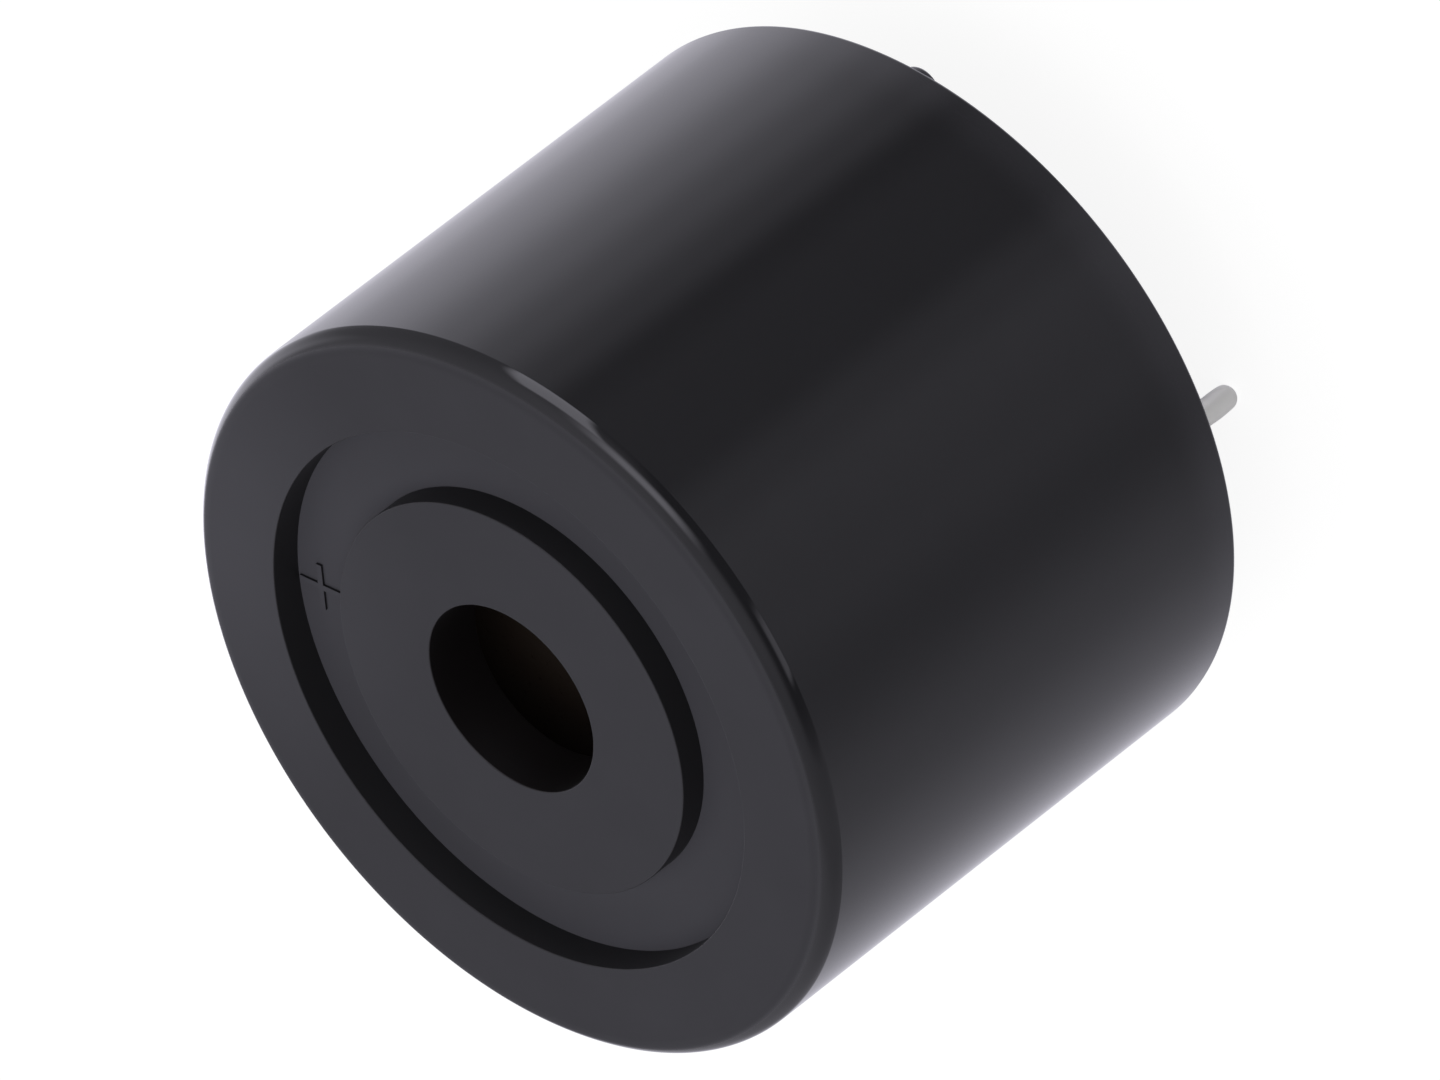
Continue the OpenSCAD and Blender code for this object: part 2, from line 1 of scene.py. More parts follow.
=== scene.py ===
# %% [markdown]
# # A potted piezo buzzer
# The part is a black moulded cup, 24 mm across, with a round sound port and a ring groove in
# its face, a body of resin in its open back, and two tinned pins. Inside are a brass and
# ceramic sounder and a small driver board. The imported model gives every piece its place, and
# this lesson gives each one its finish, and a finer mesh wherever the eye can find it.

# %% Load the frame
import math

import bmesh
import bpy
from mathutils import Matrix, Vector


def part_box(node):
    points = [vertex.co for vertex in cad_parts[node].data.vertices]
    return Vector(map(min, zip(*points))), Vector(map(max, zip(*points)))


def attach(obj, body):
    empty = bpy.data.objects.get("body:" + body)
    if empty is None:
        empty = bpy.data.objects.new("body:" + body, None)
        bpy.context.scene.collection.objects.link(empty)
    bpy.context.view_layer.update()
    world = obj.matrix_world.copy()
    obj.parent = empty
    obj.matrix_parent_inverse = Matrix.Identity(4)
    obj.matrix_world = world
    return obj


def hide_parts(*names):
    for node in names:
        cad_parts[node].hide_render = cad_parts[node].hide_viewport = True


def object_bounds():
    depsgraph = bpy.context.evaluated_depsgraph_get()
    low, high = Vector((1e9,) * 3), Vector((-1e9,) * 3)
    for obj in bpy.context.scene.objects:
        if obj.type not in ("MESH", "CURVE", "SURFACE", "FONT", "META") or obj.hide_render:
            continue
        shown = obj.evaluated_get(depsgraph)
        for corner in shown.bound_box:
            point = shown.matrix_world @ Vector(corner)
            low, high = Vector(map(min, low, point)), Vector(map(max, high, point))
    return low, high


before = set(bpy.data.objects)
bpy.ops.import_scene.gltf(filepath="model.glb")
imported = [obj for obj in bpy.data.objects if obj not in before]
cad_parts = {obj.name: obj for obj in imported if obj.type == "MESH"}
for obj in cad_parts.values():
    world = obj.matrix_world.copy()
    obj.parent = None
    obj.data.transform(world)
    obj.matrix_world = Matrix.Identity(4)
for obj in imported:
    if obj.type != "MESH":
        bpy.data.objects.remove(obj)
cad_low, cad_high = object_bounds()
MM = 0.001
print("frame:", len(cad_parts), "nodes in a box of",
      [round(size / MM, 2) for size in cad_high - cad_low], "mm")

# %% [markdown]
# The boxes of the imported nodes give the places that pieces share. The sizes that a box can't
# give are written here once, in metres: they are the ones that the cup was designed with. All
# heights count from the plane on which the feet stand, and the axis is that of the port.

# %% Sizes of the cup
housing_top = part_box("housing")[1]
body_r = housing_top.x
face_z = housing_top.z
rim_z = 0.6 * MM
edge_r = 0.7 * MM
rim_chamfer = 0.15 * MM
soft_edge = 0.045 * MM
port_r = 3.1 * MM
groove_in_r = 6.5 * MM
groove_out_r = 8.9 * MM
groove_z = face_z - 1.05 * MM
boss_z = face_z - 0.15 * MM
chamber_top_z = face_z - 2.2 * MM
chamber_r = 8.8 * MM
seat_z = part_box("diaphragm_plate")[1].z
bore_r = 10.1 * MM
ledge_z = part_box("driver_board")[1].z
pocket_r = 10.5 * MM
print("cup: radius", round(body_r / MM, 2), "mm, face at", round(face_z / MM, 2), "mm")

# %% [markdown]
# Modelling by script follows the same steps as by hand: add a primitive, enter edit mode,
# pick faces or edges, and run a tool on them. An operator acts on all that is selected, so
# each step starts from a clean slate. Picking could go by index, but indices change with
# every cut, so these helpers pick what lies at a height and a distance from the axis.

# %% Picking helpers
CLOSE = 0.02 * MM


def clean_slate(piece=None):
    """Leaves edit mode and deselects everything, then picks one piece if one is given."""
    if bpy.context.object and bpy.context.object.mode != "OBJECT":
        bpy.ops.object.mode_set(mode="OBJECT")
    bpy.ops.object.select_all(action="DESELECT")
    if piece:
        piece.select_set(True)
        bpy.context.view_layer.objects.active = piece


def pick(kind, test):
    """Selects the faces or edges of the mesh in edit mode for which test(element) holds."""
    bpy.ops.mesh.select_mode(type="FACE" if kind == "faces" else "EDGE")
    bpy.ops.mesh.select_all(action="DESELECT")
    mesh = bmesh.from_edit_mesh(bpy.context.object.data)
    mesh.normal_update()
    for element in getattr(mesh, kind):
        if test(element):
            element.select_set(True)
    mesh.select_flush_mode()
    bmesh.update_edit_mesh(bpy.context.object.data)


def ring_of_edges(radius, z, centre=(0, 0)):
    """A test for the edges of one ring, at a distance from an upright axis and a height."""
    middle = Vector((centre[0], centre[1], 0))

    def test(edge):
        return all(abs((vert.co - middle).xy.length - radius) < CLOSE
                   and abs(vert.co.z - z) < CLOSE for vert in edge.verts)
    return test


def cap_at(z, facing):
    """A test for the flat cap at a height that faces up or down and covers the axis."""
    return lambda face: (abs(face.calc_center_median().z - z) < CLOSE / 2
                         and face.normal.z * facing > 0.9 and len(face.verts) > 4)


print("picking: within", CLOSE / MM, "mm")

# %% [markdown]
# Every new piece here starts as an upright bar, so one helper adds it and puts its place into
# its mesh. Another runs the bevel tool on a ring of edges. Two closed meshes become one with a
# boolean, which is how a mould maker adds a boss or sinks a hole. What comes twice is
# modelled once and copied.

# %% Modelling helpers
def put_place_in_mesh():
    bpy.ops.object.transform_apply(location=True, rotation=True, scale=True)


def upright_bar(radius, low, high, centre=(0, 0), sides=48):
    """Adds an upright closed cylinder between two heights."""
    clean_slate()
    bpy.ops.mesh.primitive_cylinder_add(
        vertices=sides, radius=radius, depth=high - low,
        location=(centre[0], centre[1], (low + high) / 2), end_fill_type="NGON")
    put_place_in_mesh()
    return bpy.context.object


def soften_ring(radius, z, size, segments, centre=(0, 0)):
    """Rounds the ring of edges at a radius and a height."""
    pick("edges", ring_of_edges(radius, z, centre))
    bpy.ops.mesh.bevel(offset=size, offset_type="OFFSET", segments=segments, affect="EDGES")


def combine(target, tool, operation):
    """Fuses a closed mesh to a piece, or cuts it out, with a boolean."""
    clean_slate(target)
    modifier = target.modifiers.new("boolean", "BOOLEAN")
    modifier.operation = operation
    modifier.solver = "EXACT"
    modifier.object = tool
    bpy.ops.object.modifier_apply(modifier=modifier.name)
    bpy.data.objects.remove(tool)


def copy_to(piece, move):
    """Copies a piece with its own mesh, and moves the copy."""
    clean_slate(piece)
    bpy.ops.object.duplicate()
    bpy.ops.transform.translate(value=move)
    put_place_in_mesh()
    return bpy.context.object


print("helpers: bars of 48 sides unless more are asked for")

# %% [markdown]
# A smooth surface is shaded as if it were round, also where a bevel meets a flat. So each
# piece is shaded smooth up to an angle, and then its flats and its upright walls get their
# normals back from their own faces. The two groups are done one after the other, because
# a corner between them would otherwise share one slanted normal.

# %% Shading helper
FLAT = 0.9995
UPRIGHT = 0.0005


def finish_mesh(piece, name, angle=35, flats=True):
    """Names a piece and shades it smooth, with the flats and upright walls kept true."""
    clean_slate(piece)
    piece.name = name
    piece.data.name = name
    put_place_in_mesh()
    bpy.ops.object.shade_smooth_by_angle(angle=math.radians(angle))
    if flats:
        bpy.ops.object.mode_set(mode="EDIT")
        for test in (lambda face: abs(face.normal.z) > FLAT,
                     lambda face: abs(face.normal.z) < UPRIGHT):
            pick("faces", test)
            bpy.ops.mesh.set_normals_from_faces(keep_sharp=True)
        bpy.ops.object.mode_set(mode="OBJECT")
    print(name + ":", len(piece.data.polygons), "faces")
    return piece


print("shading: a face is flat when its normal is", FLAT, "along the axis")

# %% [markdown]
# ## The cup
# The real cup is one moulding. A lathe profile could be spun round, but starting from a
# cylinder and stepping inwards with insets and extrusions follows the way the mould is
# thought out: each step is a wall or a floor, and the edges stay easy to find afterwards.
# An inset is measured across the flats of the many-sided cap, a radius to its corners.

# %% Cup: floors and walls
SIDES = 256
FLATS_TO_CORNERS = math.cos(math.pi / SIDES)
SAME_POINT = 0.005 * MM


def step_in(from_r, to_r, rise):
    """Insets the picked cap to a smaller radius, then pushes it up or down."""
    bpy.ops.mesh.inset(thickness=(from_r - to_r) * FLATS_TO_CORNERS, depth=0)
    if rise:
        bpy.ops.mesh.extrude_region_move(TRANSFORM_OT_translate={"value": (0, 0, rise)})


cup = upright_bar(body_r, rim_z, face_z, sides=SIDES)
bpy.ops.object.mode_set(mode="EDIT")
pick("faces", cap_at(face_z, 1))
step_in(body_r, groove_out_r, groove_z - face_z)
step_in(groove_out_r, groove_in_r, boss_z - groove_z)
step_in(groove_in_r, port_r, chamber_top_z - boss_z)
bpy.ops.mesh.delete(type="ONLY_FACE")
pick("faces", cap_at(rim_z, -1))
step_in(body_r, pocket_r, ledge_z - rim_z)
step_in(pocket_r, bore_r, seat_z - ledge_z)
step_in(bore_r, chamber_r, chamber_top_z - seat_z)
step_in(chamber_r, port_r, 0)
bpy.ops.mesh.delete(type="ONLY_FACE")
bpy.ops.mesh.select_all(action="SELECT")
bpy.ops.mesh.remove_doubles(threshold=SAME_POINT)
print("cup: blocked out with", len(bmesh.from_edit_mesh(cup.data).faces), "faces")

# %% [markdown]
# No moulded edge is dead sharp. The edge round the face has a clear radius, the rear rim a
# small chamfer, and the port and the groove only the softness that the mould leaves. A bevel
# modifier would round every edge alike, so each ring is bevelled by itself. The corners at
# the groove's floor stay as they are, because a mould cuts those crisp.

# %% Cup: edges
for radius, z, size, segments in (
        (body_r, face_z, edge_r, 12),
        (groove_out_r, face_z, soft_edge, 3),
        (groove_in_r, boss_z, soft_edge, 3),
        (port_r, boss_z, soft_edge, 3),
        (port_r, chamber_top_z, soft_edge, 3),
        (body_r, rim_z, rim_chamfer, 3),
        (pocket_r, rim_z, rim_chamfer, 3)):
    soften_ring(radius, z, size, segments)
bpy.ops.object.mode_set(mode="OBJECT")
print("cup: edges softened,", len(cup.data.polygons), "faces")

# %% [markdown]
# Two ribs key the resin into the cup and end as the feet that hold it off the circuit board.
# The rib could be a step in the cup's profile, but it is round and off the axis. So it is a
# bar with a soft end, modelled once, copied to the other side and fused to the cup.

# %% Cup: feet
foot_r = 0.7 * MM
foot_round = 0.14 * MM
foot_turn = math.radians(2.2)
foot_place_r = body_r - 1.2 * MM
rib_top_z = ledge_z + 0.2 * MM


def foot_at(side):
    """The middle of the foot on one side of the cup."""
    return (side * foot_place_r * math.sin(foot_turn),
            side * foot_place_r * math.cos(foot_turn))


foot = upright_bar(foot_r, 0, rib_top_z, foot_at(-1))
bpy.ops.object.mode_set(mode="EDIT")
soften_ring(foot_r, 0, foot_round, 4, foot_at(-1))
other_foot = copy_to(foot, (2 * foot_at(1)[0], 2 * foot_at(1)[1], 0))
combine(cup, foot, "UNION")
combine(cup, other_foot, "UNION")
print("feet:", round(2 * foot_place_r / MM, 1), "mm apart")

# %% [markdown]
# A plus on the floor of the groove marks the positive side. The mould has two crossed cuts
# there, so the mark stands a hair above the floor. Bump would do from afar, but raised
# strokes catch the light from every side. They run a little into the floor to fuse with it.

# %% Cup: plus mark
mark_r = 8 * MM
mark_turn = math.radians(2)
mark_len = 1.6 * MM
mark_w = 0.2 * MM
mark_h = 0.08 * MM
for size in ((mark_len, mark_w), (mark_w, mark_len)):
    clean_slate()
    bpy.ops.mesh.primitive_cube_add(
        size=1, location=(mark_r * math.cos(mark_turn), mark_r * math.sin(mark_turn), groove_z),
        rotation=(0, 0, mark_turn), scale=(size[0], size[1], 2 * mark_h))
    put_place_in_mesh()
    combine(cup, bpy.context.object, "UNION")
finish_mesh(cup, "housing_cup")
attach(cup, "root")
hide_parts("housing")
print("mark:", mark_len / MM, "mm strokes,", mark_h / MM, "mm high")

# %% [markdown]
# ## The pins
# The pins are drawn wire, dipped in tin. The tin pulls back into a slightly fuller bead
# round the tip, so the pin is a touch thinner along its neck. Inside the resin the wire is
# swaged to a thicker root with a flat head, which holds it in the board. The pin could be a
# spun profile, but insets and extrusions from the head keep every ring where it can be
# picked and rounded. Both pins are alike, so the second is a copy.

# %% Pins: head, root, neck and bead
pin_low, pin_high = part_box("positive_pin")
pin_x = (pin_low.x + pin_high.x) / 2
pin_axis = (pin_x, 0)
pin_tip_z = pin_low.z
pin_head_top_z = pin_high.z
pin_head_r = (pin_high.x - pin_low.x) / 2
pin_root_r = 0.6 * MM
pin_neck_r = 0.37 * MM
pin_bead_r = 0.42 * MM
pin_tip_r = 0.36 * MM
bead_mid_z = pin_tip_z + 0.75 * MM
bead_top_z = pin_tip_z + 1.7 * MM
resin_z = rim_z + 0.5 * MM


def push_cap(rise, scale=1.0):
    """Extrudes the picked cap along the axis, then scales it about its own middle."""
    bpy.ops.mesh.extrude_region_move(TRANSFORM_OT_translate={"value": (0, 0, rise)})
    if scale != 1:
        bpy.ops.transform.resize(value=(scale, scale, 1))


pin = upright_bar(pin_head_r, ledge_z, pin_head_top_z, pin_axis)
bpy.ops.object.mode_set(mode="EDIT")
bpy.context.scene.tool_settings.transform_pivot_point = "BOUNDING_BOX_CENTER"
pick("faces", cap_at(ledge_z, -1))
bpy.ops.mesh.inset(thickness=pin_head_r - pin_root_r, depth=0)
push_cap(resin_z - ledge_z)
bpy.ops.mesh.inset(thickness=pin_root_r - pin_neck_r, depth=0)
push_cap(bead_top_z - resin_z)
push_cap(bead_mid_z - bead_top_z, pin_bead_r / pin_neck_r)
push_cap(pin_tip_z - bead_mid_z, pin_tip_r / pin_bead_r)
print("pin: at x =", round(pin_x / MM, 2), "mm, tip at", round(pin_tip_z / MM, 2), "mm")

# %% Pins: rounded rings and the copy
for radius, z, size, segments in ((pin_head_r, pin_head_top_z, 0.1 * MM, 3),
                                  (pin_head_r, ledge_z, 0.05 * MM, 2),
                                  (pin_root_r, resin_z, 0.05 * MM, 2),
                                  (pin_neck_r, bead_top_z, 0.4 * MM, 5),
                                  (pin_bead_r, bead_mid_z, 0.35 * MM, 5),
                                  (pin_tip_r, pin_tip_z, 0.3 * MM, 8)):
    soften_ring(radius, z, size, segments, pin_axis)
other_pin = copy_to(pin, (-2 * pin_x, 0, 0))
positive_pin = finish_mesh(pin, "tinned_pin_positive", 60)
negative_pin = finish_mesh(other_pin, "tinned_pin_negative", 60)
for piece, node in ((positive_pin, "positive_pin"), (negative_pin, "negative_pin")):
    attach(piece, "root")
    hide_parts(node)
print("pins:", round(2 * pin_x / MM, 1), "mm apart")

# %% [markdown]
# ## The resin
# The open back is filled with casting resin. It creeps up the cup's wall, the ribs and the
# pins in a thin meniscus, sinks a little in the middle as it cures, and keeps a few burst
# bubbles. Noise displacement would make it look like lava. A disc cut into narrow rings
# gives the surface enough points, the wetted bodies are cut out of it, and proportional
# editing then lifts it towards whatever it wets.

# %% Resin: a disc with fine rings
RESIN_RINGS = 58
resin_hub_r = 0.3 * MM
copper_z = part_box("driver_board")[0].z - 0.05 * MM
resin = upright_bar(pocket_r, resin_z, copper_z, sides=SIDES)
bpy.ops.object.mode_set(mode="EDIT")
pick("faces", cap_at(resin_z, -1))
for ring in range(RESIN_RINGS):
    bpy.ops.mesh.inset(thickness=(pocket_r - resin_hub_r) / RESIN_RINGS * FLATS_TO_CORNERS,
                       depth=0)
bpy.ops.mesh.poke()
bpy.ops.object.mode_set(mode="OBJECT")
print("resin: rings", round((pocket_r - resin_hub_r) / RESIN_RINGS / MM, 3), "mm wide")

# %% Resin: ribs, pins and bubbles cut out
PIN_HOLE_DEPTH = 0.6 * MM
BUBBLE_SUNK = 0.35
for side in (-1, 1):
    combine(resin, upright_bar(foot_r, rim_z, copper_z + rim_z, foot_at(side)), "DIFFERENCE")
    combine(resin, upright_bar(pin_neck_r, 0, resin_z + PIN_HOLE_DEPTH, (side * pin_x, 0)),
            "DIFFERENCE")
bubbles = ((3.1, 4.4, 0.13), (-2.2, -5.6, 0.09), (5.2, -2.1, 0.07), (-6.0, 3.4, 0.11),
           (-0.8, 1.9, 0.06), (1.6, -8.3, 0.08))
for x, y, radius in bubbles:
    clean_slate()
    bpy.ops.mesh.primitive_uv_sphere_add(
        segments=20, ring_count=10, radius=radius * MM,
        location=(x * MM, y * MM, resin_z + BUBBLE_SUNK * radius * MM))
    put_place_in_mesh()
    combine(resin, bpy.context.object, "DIFFERENCE")
print("resin:", len(bubbles), "bubbles,", len(resin.data.polygons), "faces")

# %% Resin: meniscus and sink
SURFACE_BAND = 0.35 * MM
NEXT_TO = 0.01 * MM
SINK_DEPTH, SINK_REACH = 0.09 * MM, 7 * MM
WALL_CREEP, WALL_REACH = -0.24 * MM, 0.75 * MM
PIN_CREEP, PIN_REACH = -0.2 * MM, 0.7 * MM


def pull(test, rise, reach, falloff):
    """Moves the picked points of the resin's surface, and their neighbours less and less."""
    bpy.ops.mesh.select_mode(type="VERT")
    bpy.ops.mesh.select_all(action="DESELECT")
    mesh = bmesh.from_edit_mesh(bpy.context.object.data)
    for vert in mesh.verts:
        if abs(vert.co.z - resin_z) < SURFACE_BAND and test(vert.co):
            vert.select_set(True)
    bmesh.update_edit_mesh(bpy.context.object.data)
    bpy.ops.transform.translate(
        value=(0, 0, rise), use_proportional_edit=True, use_proportional_connected=True,
        proportional_edit_falloff=falloff, proportional_size=reach)


def near(centre, radius):
    """A test for points within a distance of an upright axis."""
    return lambda place: (place.xy - Vector(centre)).length < radius


clean_slate(resin)
bpy.ops.object.mode_set(mode="EDIT")
pull(near((0.6 * MM, -0.4 * MM), 2.5 * MM), SINK_DEPTH, SINK_REACH, "SMOOTH")
pull(lambda place: place.xy.length > pocket_r - NEXT_TO
     or near(foot_at(1), foot_r + NEXT_TO)(place)
     or near(foot_at(-1), foot_r + NEXT_TO)(place), WALL_CREEP, WALL_REACH, "SHARP")
for side in (-1, 1):
    pull(near((side * pin_x, 0), pin_neck_r + NEXT_TO), PIN_CREEP, PIN_REACH, "SHARP")
finish_mesh(resin, "casting_resin", 50, flats=False)
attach(resin, "root")
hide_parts("potting")
print("resin: lowest point at", round(min(vert.co.z for vert in resin.data.vertices) / MM, 2),
      "mm")

# %% [markdown]
# ## Finishes
# Every finish is a small network of nodes. Image textures would need unwrapped pieces, so
# all patterns here are procedural and read Object coordinates, scaled to millimetres: grain
# sizes can then be written as they are on the bench. What is the same all over a surface is
# set on the shader itself, and what varies is linked to it.

# %% Helpers: materials and nodes
def new_finish(name, **constants):
    """A new material with one shader, and its constant settings on the shader's sockets."""
    material = bpy.data.materials.new(name)
    material.use_nodes = True
    shader = material.node_tree.nodes["Principled BSDF"]
    for socket, value in constants.items():
        shader.inputs[socket.replace("_", " ")].default_value = value
    return material, material.node_tree, shader


def add_node(tree, kind, links=None, **settings):
    """Adds a node, sets its properties and numbers, and links its named inputs."""
    node = tree.nodes.new(kind)
    for key, value in settings.items():
        if hasattr(node, key):
            setattr(node, key, value)
        else:
            node.inputs[key.replace("_", " ")].default_value = value
    for key, socket in (links or {}).items():
        tree.links.new(socket, node.inputs[key])
    return node


def dress(piece, material):
    """Gives a piece one finish all over."""
    piece.data.materials.clear()
    piece.data.materials.append(material)


print("finishes: one Principled shader each")

# %% Helpers: places and grain
def millimetres(tree, stretch=(1, 1, 1), centre=(0, 0, 0), turn=0.0):
    """Object coordinates in millimetres round a centre, squeezed where a grain runs."""
    place = add_node(tree, "ShaderNodeTexCoord")
    cosine, sine = math.cos(turn), math.sin(turn)
    moved = (-(centre[0] * cosine + centre[1] * sine) / MM,
             -(centre[1] * cosine - centre[0] * sine) / MM, -centre[2] / MM)
    turned = add_node(tree, "ShaderNodeMapping", {"Vector": place.outputs["Object"]},
                      Scale=(1 / MM, 1 / MM, 1 / MM), Rotation=(0, 0, -turn), Location=moved)
    if stretch == (1, 1, 1):
        return turned.outputs["Vector"]
    return add_node(tree, "ShaderNodeMapping", {"Vector": turned.outputs["Vector"]},
                    Scale=stretch).outputs["Vector"]


def grain(tree, vector, per_mm, detail=3, roughness=0.5):
    """Noise with so many spots to a millimetre."""
    return add_node(tree, "ShaderNodeTexNoise", {"Vector": vector}, Scale=per_mm,
                    Detail=detail, Roughness=roughness).outputs["Fac"]


def add_bump(tree, shader, height, depth):
    """Bumps a surface by a height from 0 to 1 that stands for a depth in metres."""
    bump = add_node(tree, "ShaderNodeBump", {"Height": height}, Distance=depth)
    tree.links.new(bump.outputs["Normal"], shader.inputs["Normal"])


print("patterns: in units of", MM, "m")

# %% Helpers: steps and sums
MIX_SOCKETS = {"RGBA": (6, 7, 2), "FLOAT": (2, 3, 0)}


def between(tree, factor, low, high, start=0.0, end=1.0):
    """Maps a factor to a range of numbers."""
    return add_node(tree, "ShaderNodeMapRange", {"Value": factor}, From_Min=start,
                    From_Max=end, To_Min=low, To_Max=high).outputs["Result"]


def soft_step(tree, value, start, full):
    """Rises smoothly from 0 where value is start to 1 where it is full."""
    return add_node(tree, "ShaderNodeMapRange", {"Value": value},
                    interpolation_type="SMOOTHSTEP", From_Min=start,
                    From_Max=full).outputs["Result"]


def arithmetic(tree, operation, first, second=0):
    """A sum, product or other step on one or two values, either of which may be a number."""
    node = add_node(tree, "ShaderNodeMath", operation=operation)
    for slot, value in enumerate((first, second)):
        if isinstance(value, (int, float)):
            node.inputs[slot].default_value = value
        else:
            tree.links.new(value, node.inputs[slot])
    return node.outputs[0]


def blend(tree, factor, low, high, kind="RGBA"):
    """A mix of two colours or numbers. A colour may be typed, or come from a node."""
    mix = add_node(tree, "ShaderNodeMix", {0: factor}, data_type=kind)
    low_slot, high_slot, result = MIX_SOCKETS[kind]
    for slot, value in ((low_slot, low), (high_slot, high)):
        if isinstance(value, tuple):
            mix.inputs[slot].default_value = (*value, 1)
        else:
            tree.links.new(value, mix.inputs[slot])
    return mix.outputs[result]


print("helpers: a smooth step from 0 to 1, and sums of sockets and numbers")

# %% [markdown]
# ### The cup's plastic
# The plastic is black, and its two finishes come from the mould: polished walls, and a face,
# groove floor and rear rim that are matt because the mould was spark eroded there. Two
# material slots would meet in a hard line. One mask, from how far the surface looks along the
# axis, blends the two finishes across the rounded edge instead.

# %% Finish: where the cup is matt
GLOSS_END = 0.77
MATT_START = 0.97
GROOVE_WALL_R = (9.3, 9.0)
PORT_SHADE_R = (3.6, 3.2)


def tone(level):
    """A near-black plastic colour of one level, a little cool."""
    return (level * 1.02, level, level * 1.18)


def cup_places(tree):
    """Place, height and radius on the cup in millimetres, and 0 to 1 from gloss to matt."""
    place = millimetres(tree)
    facing = add_node(tree, "ShaderNodeTexCoord").outputs["Normal"]
    upright = add_node(tree, "ShaderNodeSeparateXYZ", {"Vector": facing}).outputs["Z"]
    matt = soft_step(tree, arithmetic(tree, "ABSOLUTE", upright), GLOSS_END, MATT_START)
    spot = add_node(tree, "ShaderNodeSeparateXYZ", {"Vector": place})
    flat = add_node(tree, "ShaderNodeCombineXYZ", {"X": spot.outputs["X"],
                                                  "Y": spot.outputs["Y"]})
    radius = add_node(tree, "ShaderNodeVectorMath", {0: flat.outputs["Vector"]},
                      operation="LENGTH").outputs["Value"]
    return place, spot.outputs["Z"], radius, matt


print("cup: matt where its normal is more than", MATT_START, "along the axis")

# %% [markdown]
# The polished walls are nearly black. The walls of the groove are a little paler and less
# glossy, and those of the port are darker, as painted shade in the hole. The wall is painted
# paler by the rear rim as painted light, and the feet are paler as a painted highlight. One
# colour for all of it would look like paint.

# %% Finish: polished plastic
POLISHED_LOW = tone(0.0060)
POLISHED_HIGH = tone(0.0078)
GROOVE_WALL = (0.0088, 0.0084, 0.0094)
# Painted shade: the port's walls are coloured darker than the outer wall.
PORT_WALL_PAINTED_SHADE = (0.0032, 0.0022, 0.0024)
# Painted light: the wall is coloured paler towards the rear rim.
RIM_PAINTED_LIGHT = tone(0.019)
RIM_LIGHT_Z = (2.4, 0.6)
# Painted highlight: the feet are coloured paler.
FOOT_PAINTED_HIGHLIGHT = tone(0.055)
FOOT_HIGHLIGHT_Z = (rim_z / MM + 0.02, rim_z / MM - 0.1)


def polished_colour(tree, clouds, height, radius):
    colour = blend(tree, clouds, POLISHED_LOW, POLISHED_HIGH)
    colour = blend(tree, soft_step(tree, radius, *GROOVE_WALL_R), colour, GROOVE_WALL)
    # Painted shade darkens the port's walls.
    colour = blend(tree, soft_step(tree, radius, *PORT_SHADE_R), colour, PORT_WALL_PAINTED_SHADE)
    # Painted light makes the wall paler by the rear rim.
    return blend(tree, soft_step(tree, height, *RIM_LIGHT_Z), colour, RIM_PAINTED_LIGHT)


print("polished: levels", POLISHED_LOW[1], "to", POLISHED_HIGH[1])

# %% [markdown]
# The eroded flats are a dark grey with fine clouds, and a painted reflection makes the face a
# little paler towards one side. Painted light makes the groove's floor paler where its walls
# shade it, most of all in its two corners. A second material on that floor would show a seam
# at the edge, so the painted light follows the radius and the height.

# %% Finish: eroded plastic
FACE_LEVEL = 0.0325
# Painted reflection: the face is coloured paler towards one side.
FACE_PAINTED_REFLECTION = tone(FACE_LEVEL + 0.022)
REFLECTION_MIDDLE = (12.9, -1.3, face_z / MM)
REFLECTION_REACH = (11, 1)
# Painted light: the groove's floor is coloured paler where its walls shade it, most near them.
GROOVE_PAINTED_LIGHT = tone(0.20)
GROOVE_LIGHT_LEVEL = 0.105
GROOVE_LIGHT_CORNER = 0.135
GROOVE_MIDDLE = (groove_in_r + groove_out_r) / 2 / MM
GROOVE_HALF = (groove_out_r - groove_in_r) / 2 / MM
GROOVE_FLOOR = groove_z / MM


def eroded_colour(tree, place, clouds, height, radius):
    colour = blend(tree, clouds, tone(FACE_LEVEL * 0.93), tone(FACE_LEVEL * 1.07))
    # A painted reflection makes the face paler towards one side.
    away = add_node(tree, "ShaderNodeVectorMath", {0: place}, operation="DISTANCE")
    away.inputs[1].default_value = REFLECTION_MIDDLE
    reflected = soft_step(tree, away.outputs["Value"], *REFLECTION_REACH)
    colour = blend(tree, reflected, colour, FACE_PAINTED_REFLECTION)
    # Painted light lifts the groove's floor, most of all near its walls.
    off_middle = arithmetic(tree, "ABSOLUTE",
                            arithmetic(tree, "SUBTRACT", radius, GROOVE_MIDDLE))
    corner = between(tree, off_middle, 0, 1, 0, GROOVE_HALF)
    painted_light = arithmetic(tree, "ADD", GROOVE_LIGHT_LEVEL, arithmetic(
        tree, "MULTIPLY", arithmetic(tree, "POWER", corner, 2), GROOVE_LIGHT_CORNER))
    sunk = soft_step(tree, height, GROOVE_FLOOR + 0.7, GROOVE_FLOOR + 0.4)
    above = soft_step(tree, height, GROOVE_FLOOR - 0.6, GROOVE_FLOOR - 0.4)
    painted_light = arithmetic(tree, "MULTIPLY", painted_light, arithmetic(tree, "MULTIPLY", sunk, above))
    return blend(tree, painted_light, colour, GROOVE_PAINTED_LIGHT)


print("eroded: level", FACE_LEVEL, "and frost on a ring of", round(2 * GROOVE_HALF, 2), "mm")

# %% [markdown]
# The mask now mixes the two colours, and with them the roughness: a mirror gloss with a slow
# haze, and a dry matt. The eroded grain is fine bump on the matt parts alone, and a very
# shallow wave is on all of them, as on any moulding.

# %% Finish: housing plastic
WALL_ROUGHNESS = 0.05
FACE_ROUGHNESS = 0.85
GROOVE_ROUGHNESS = 0.5


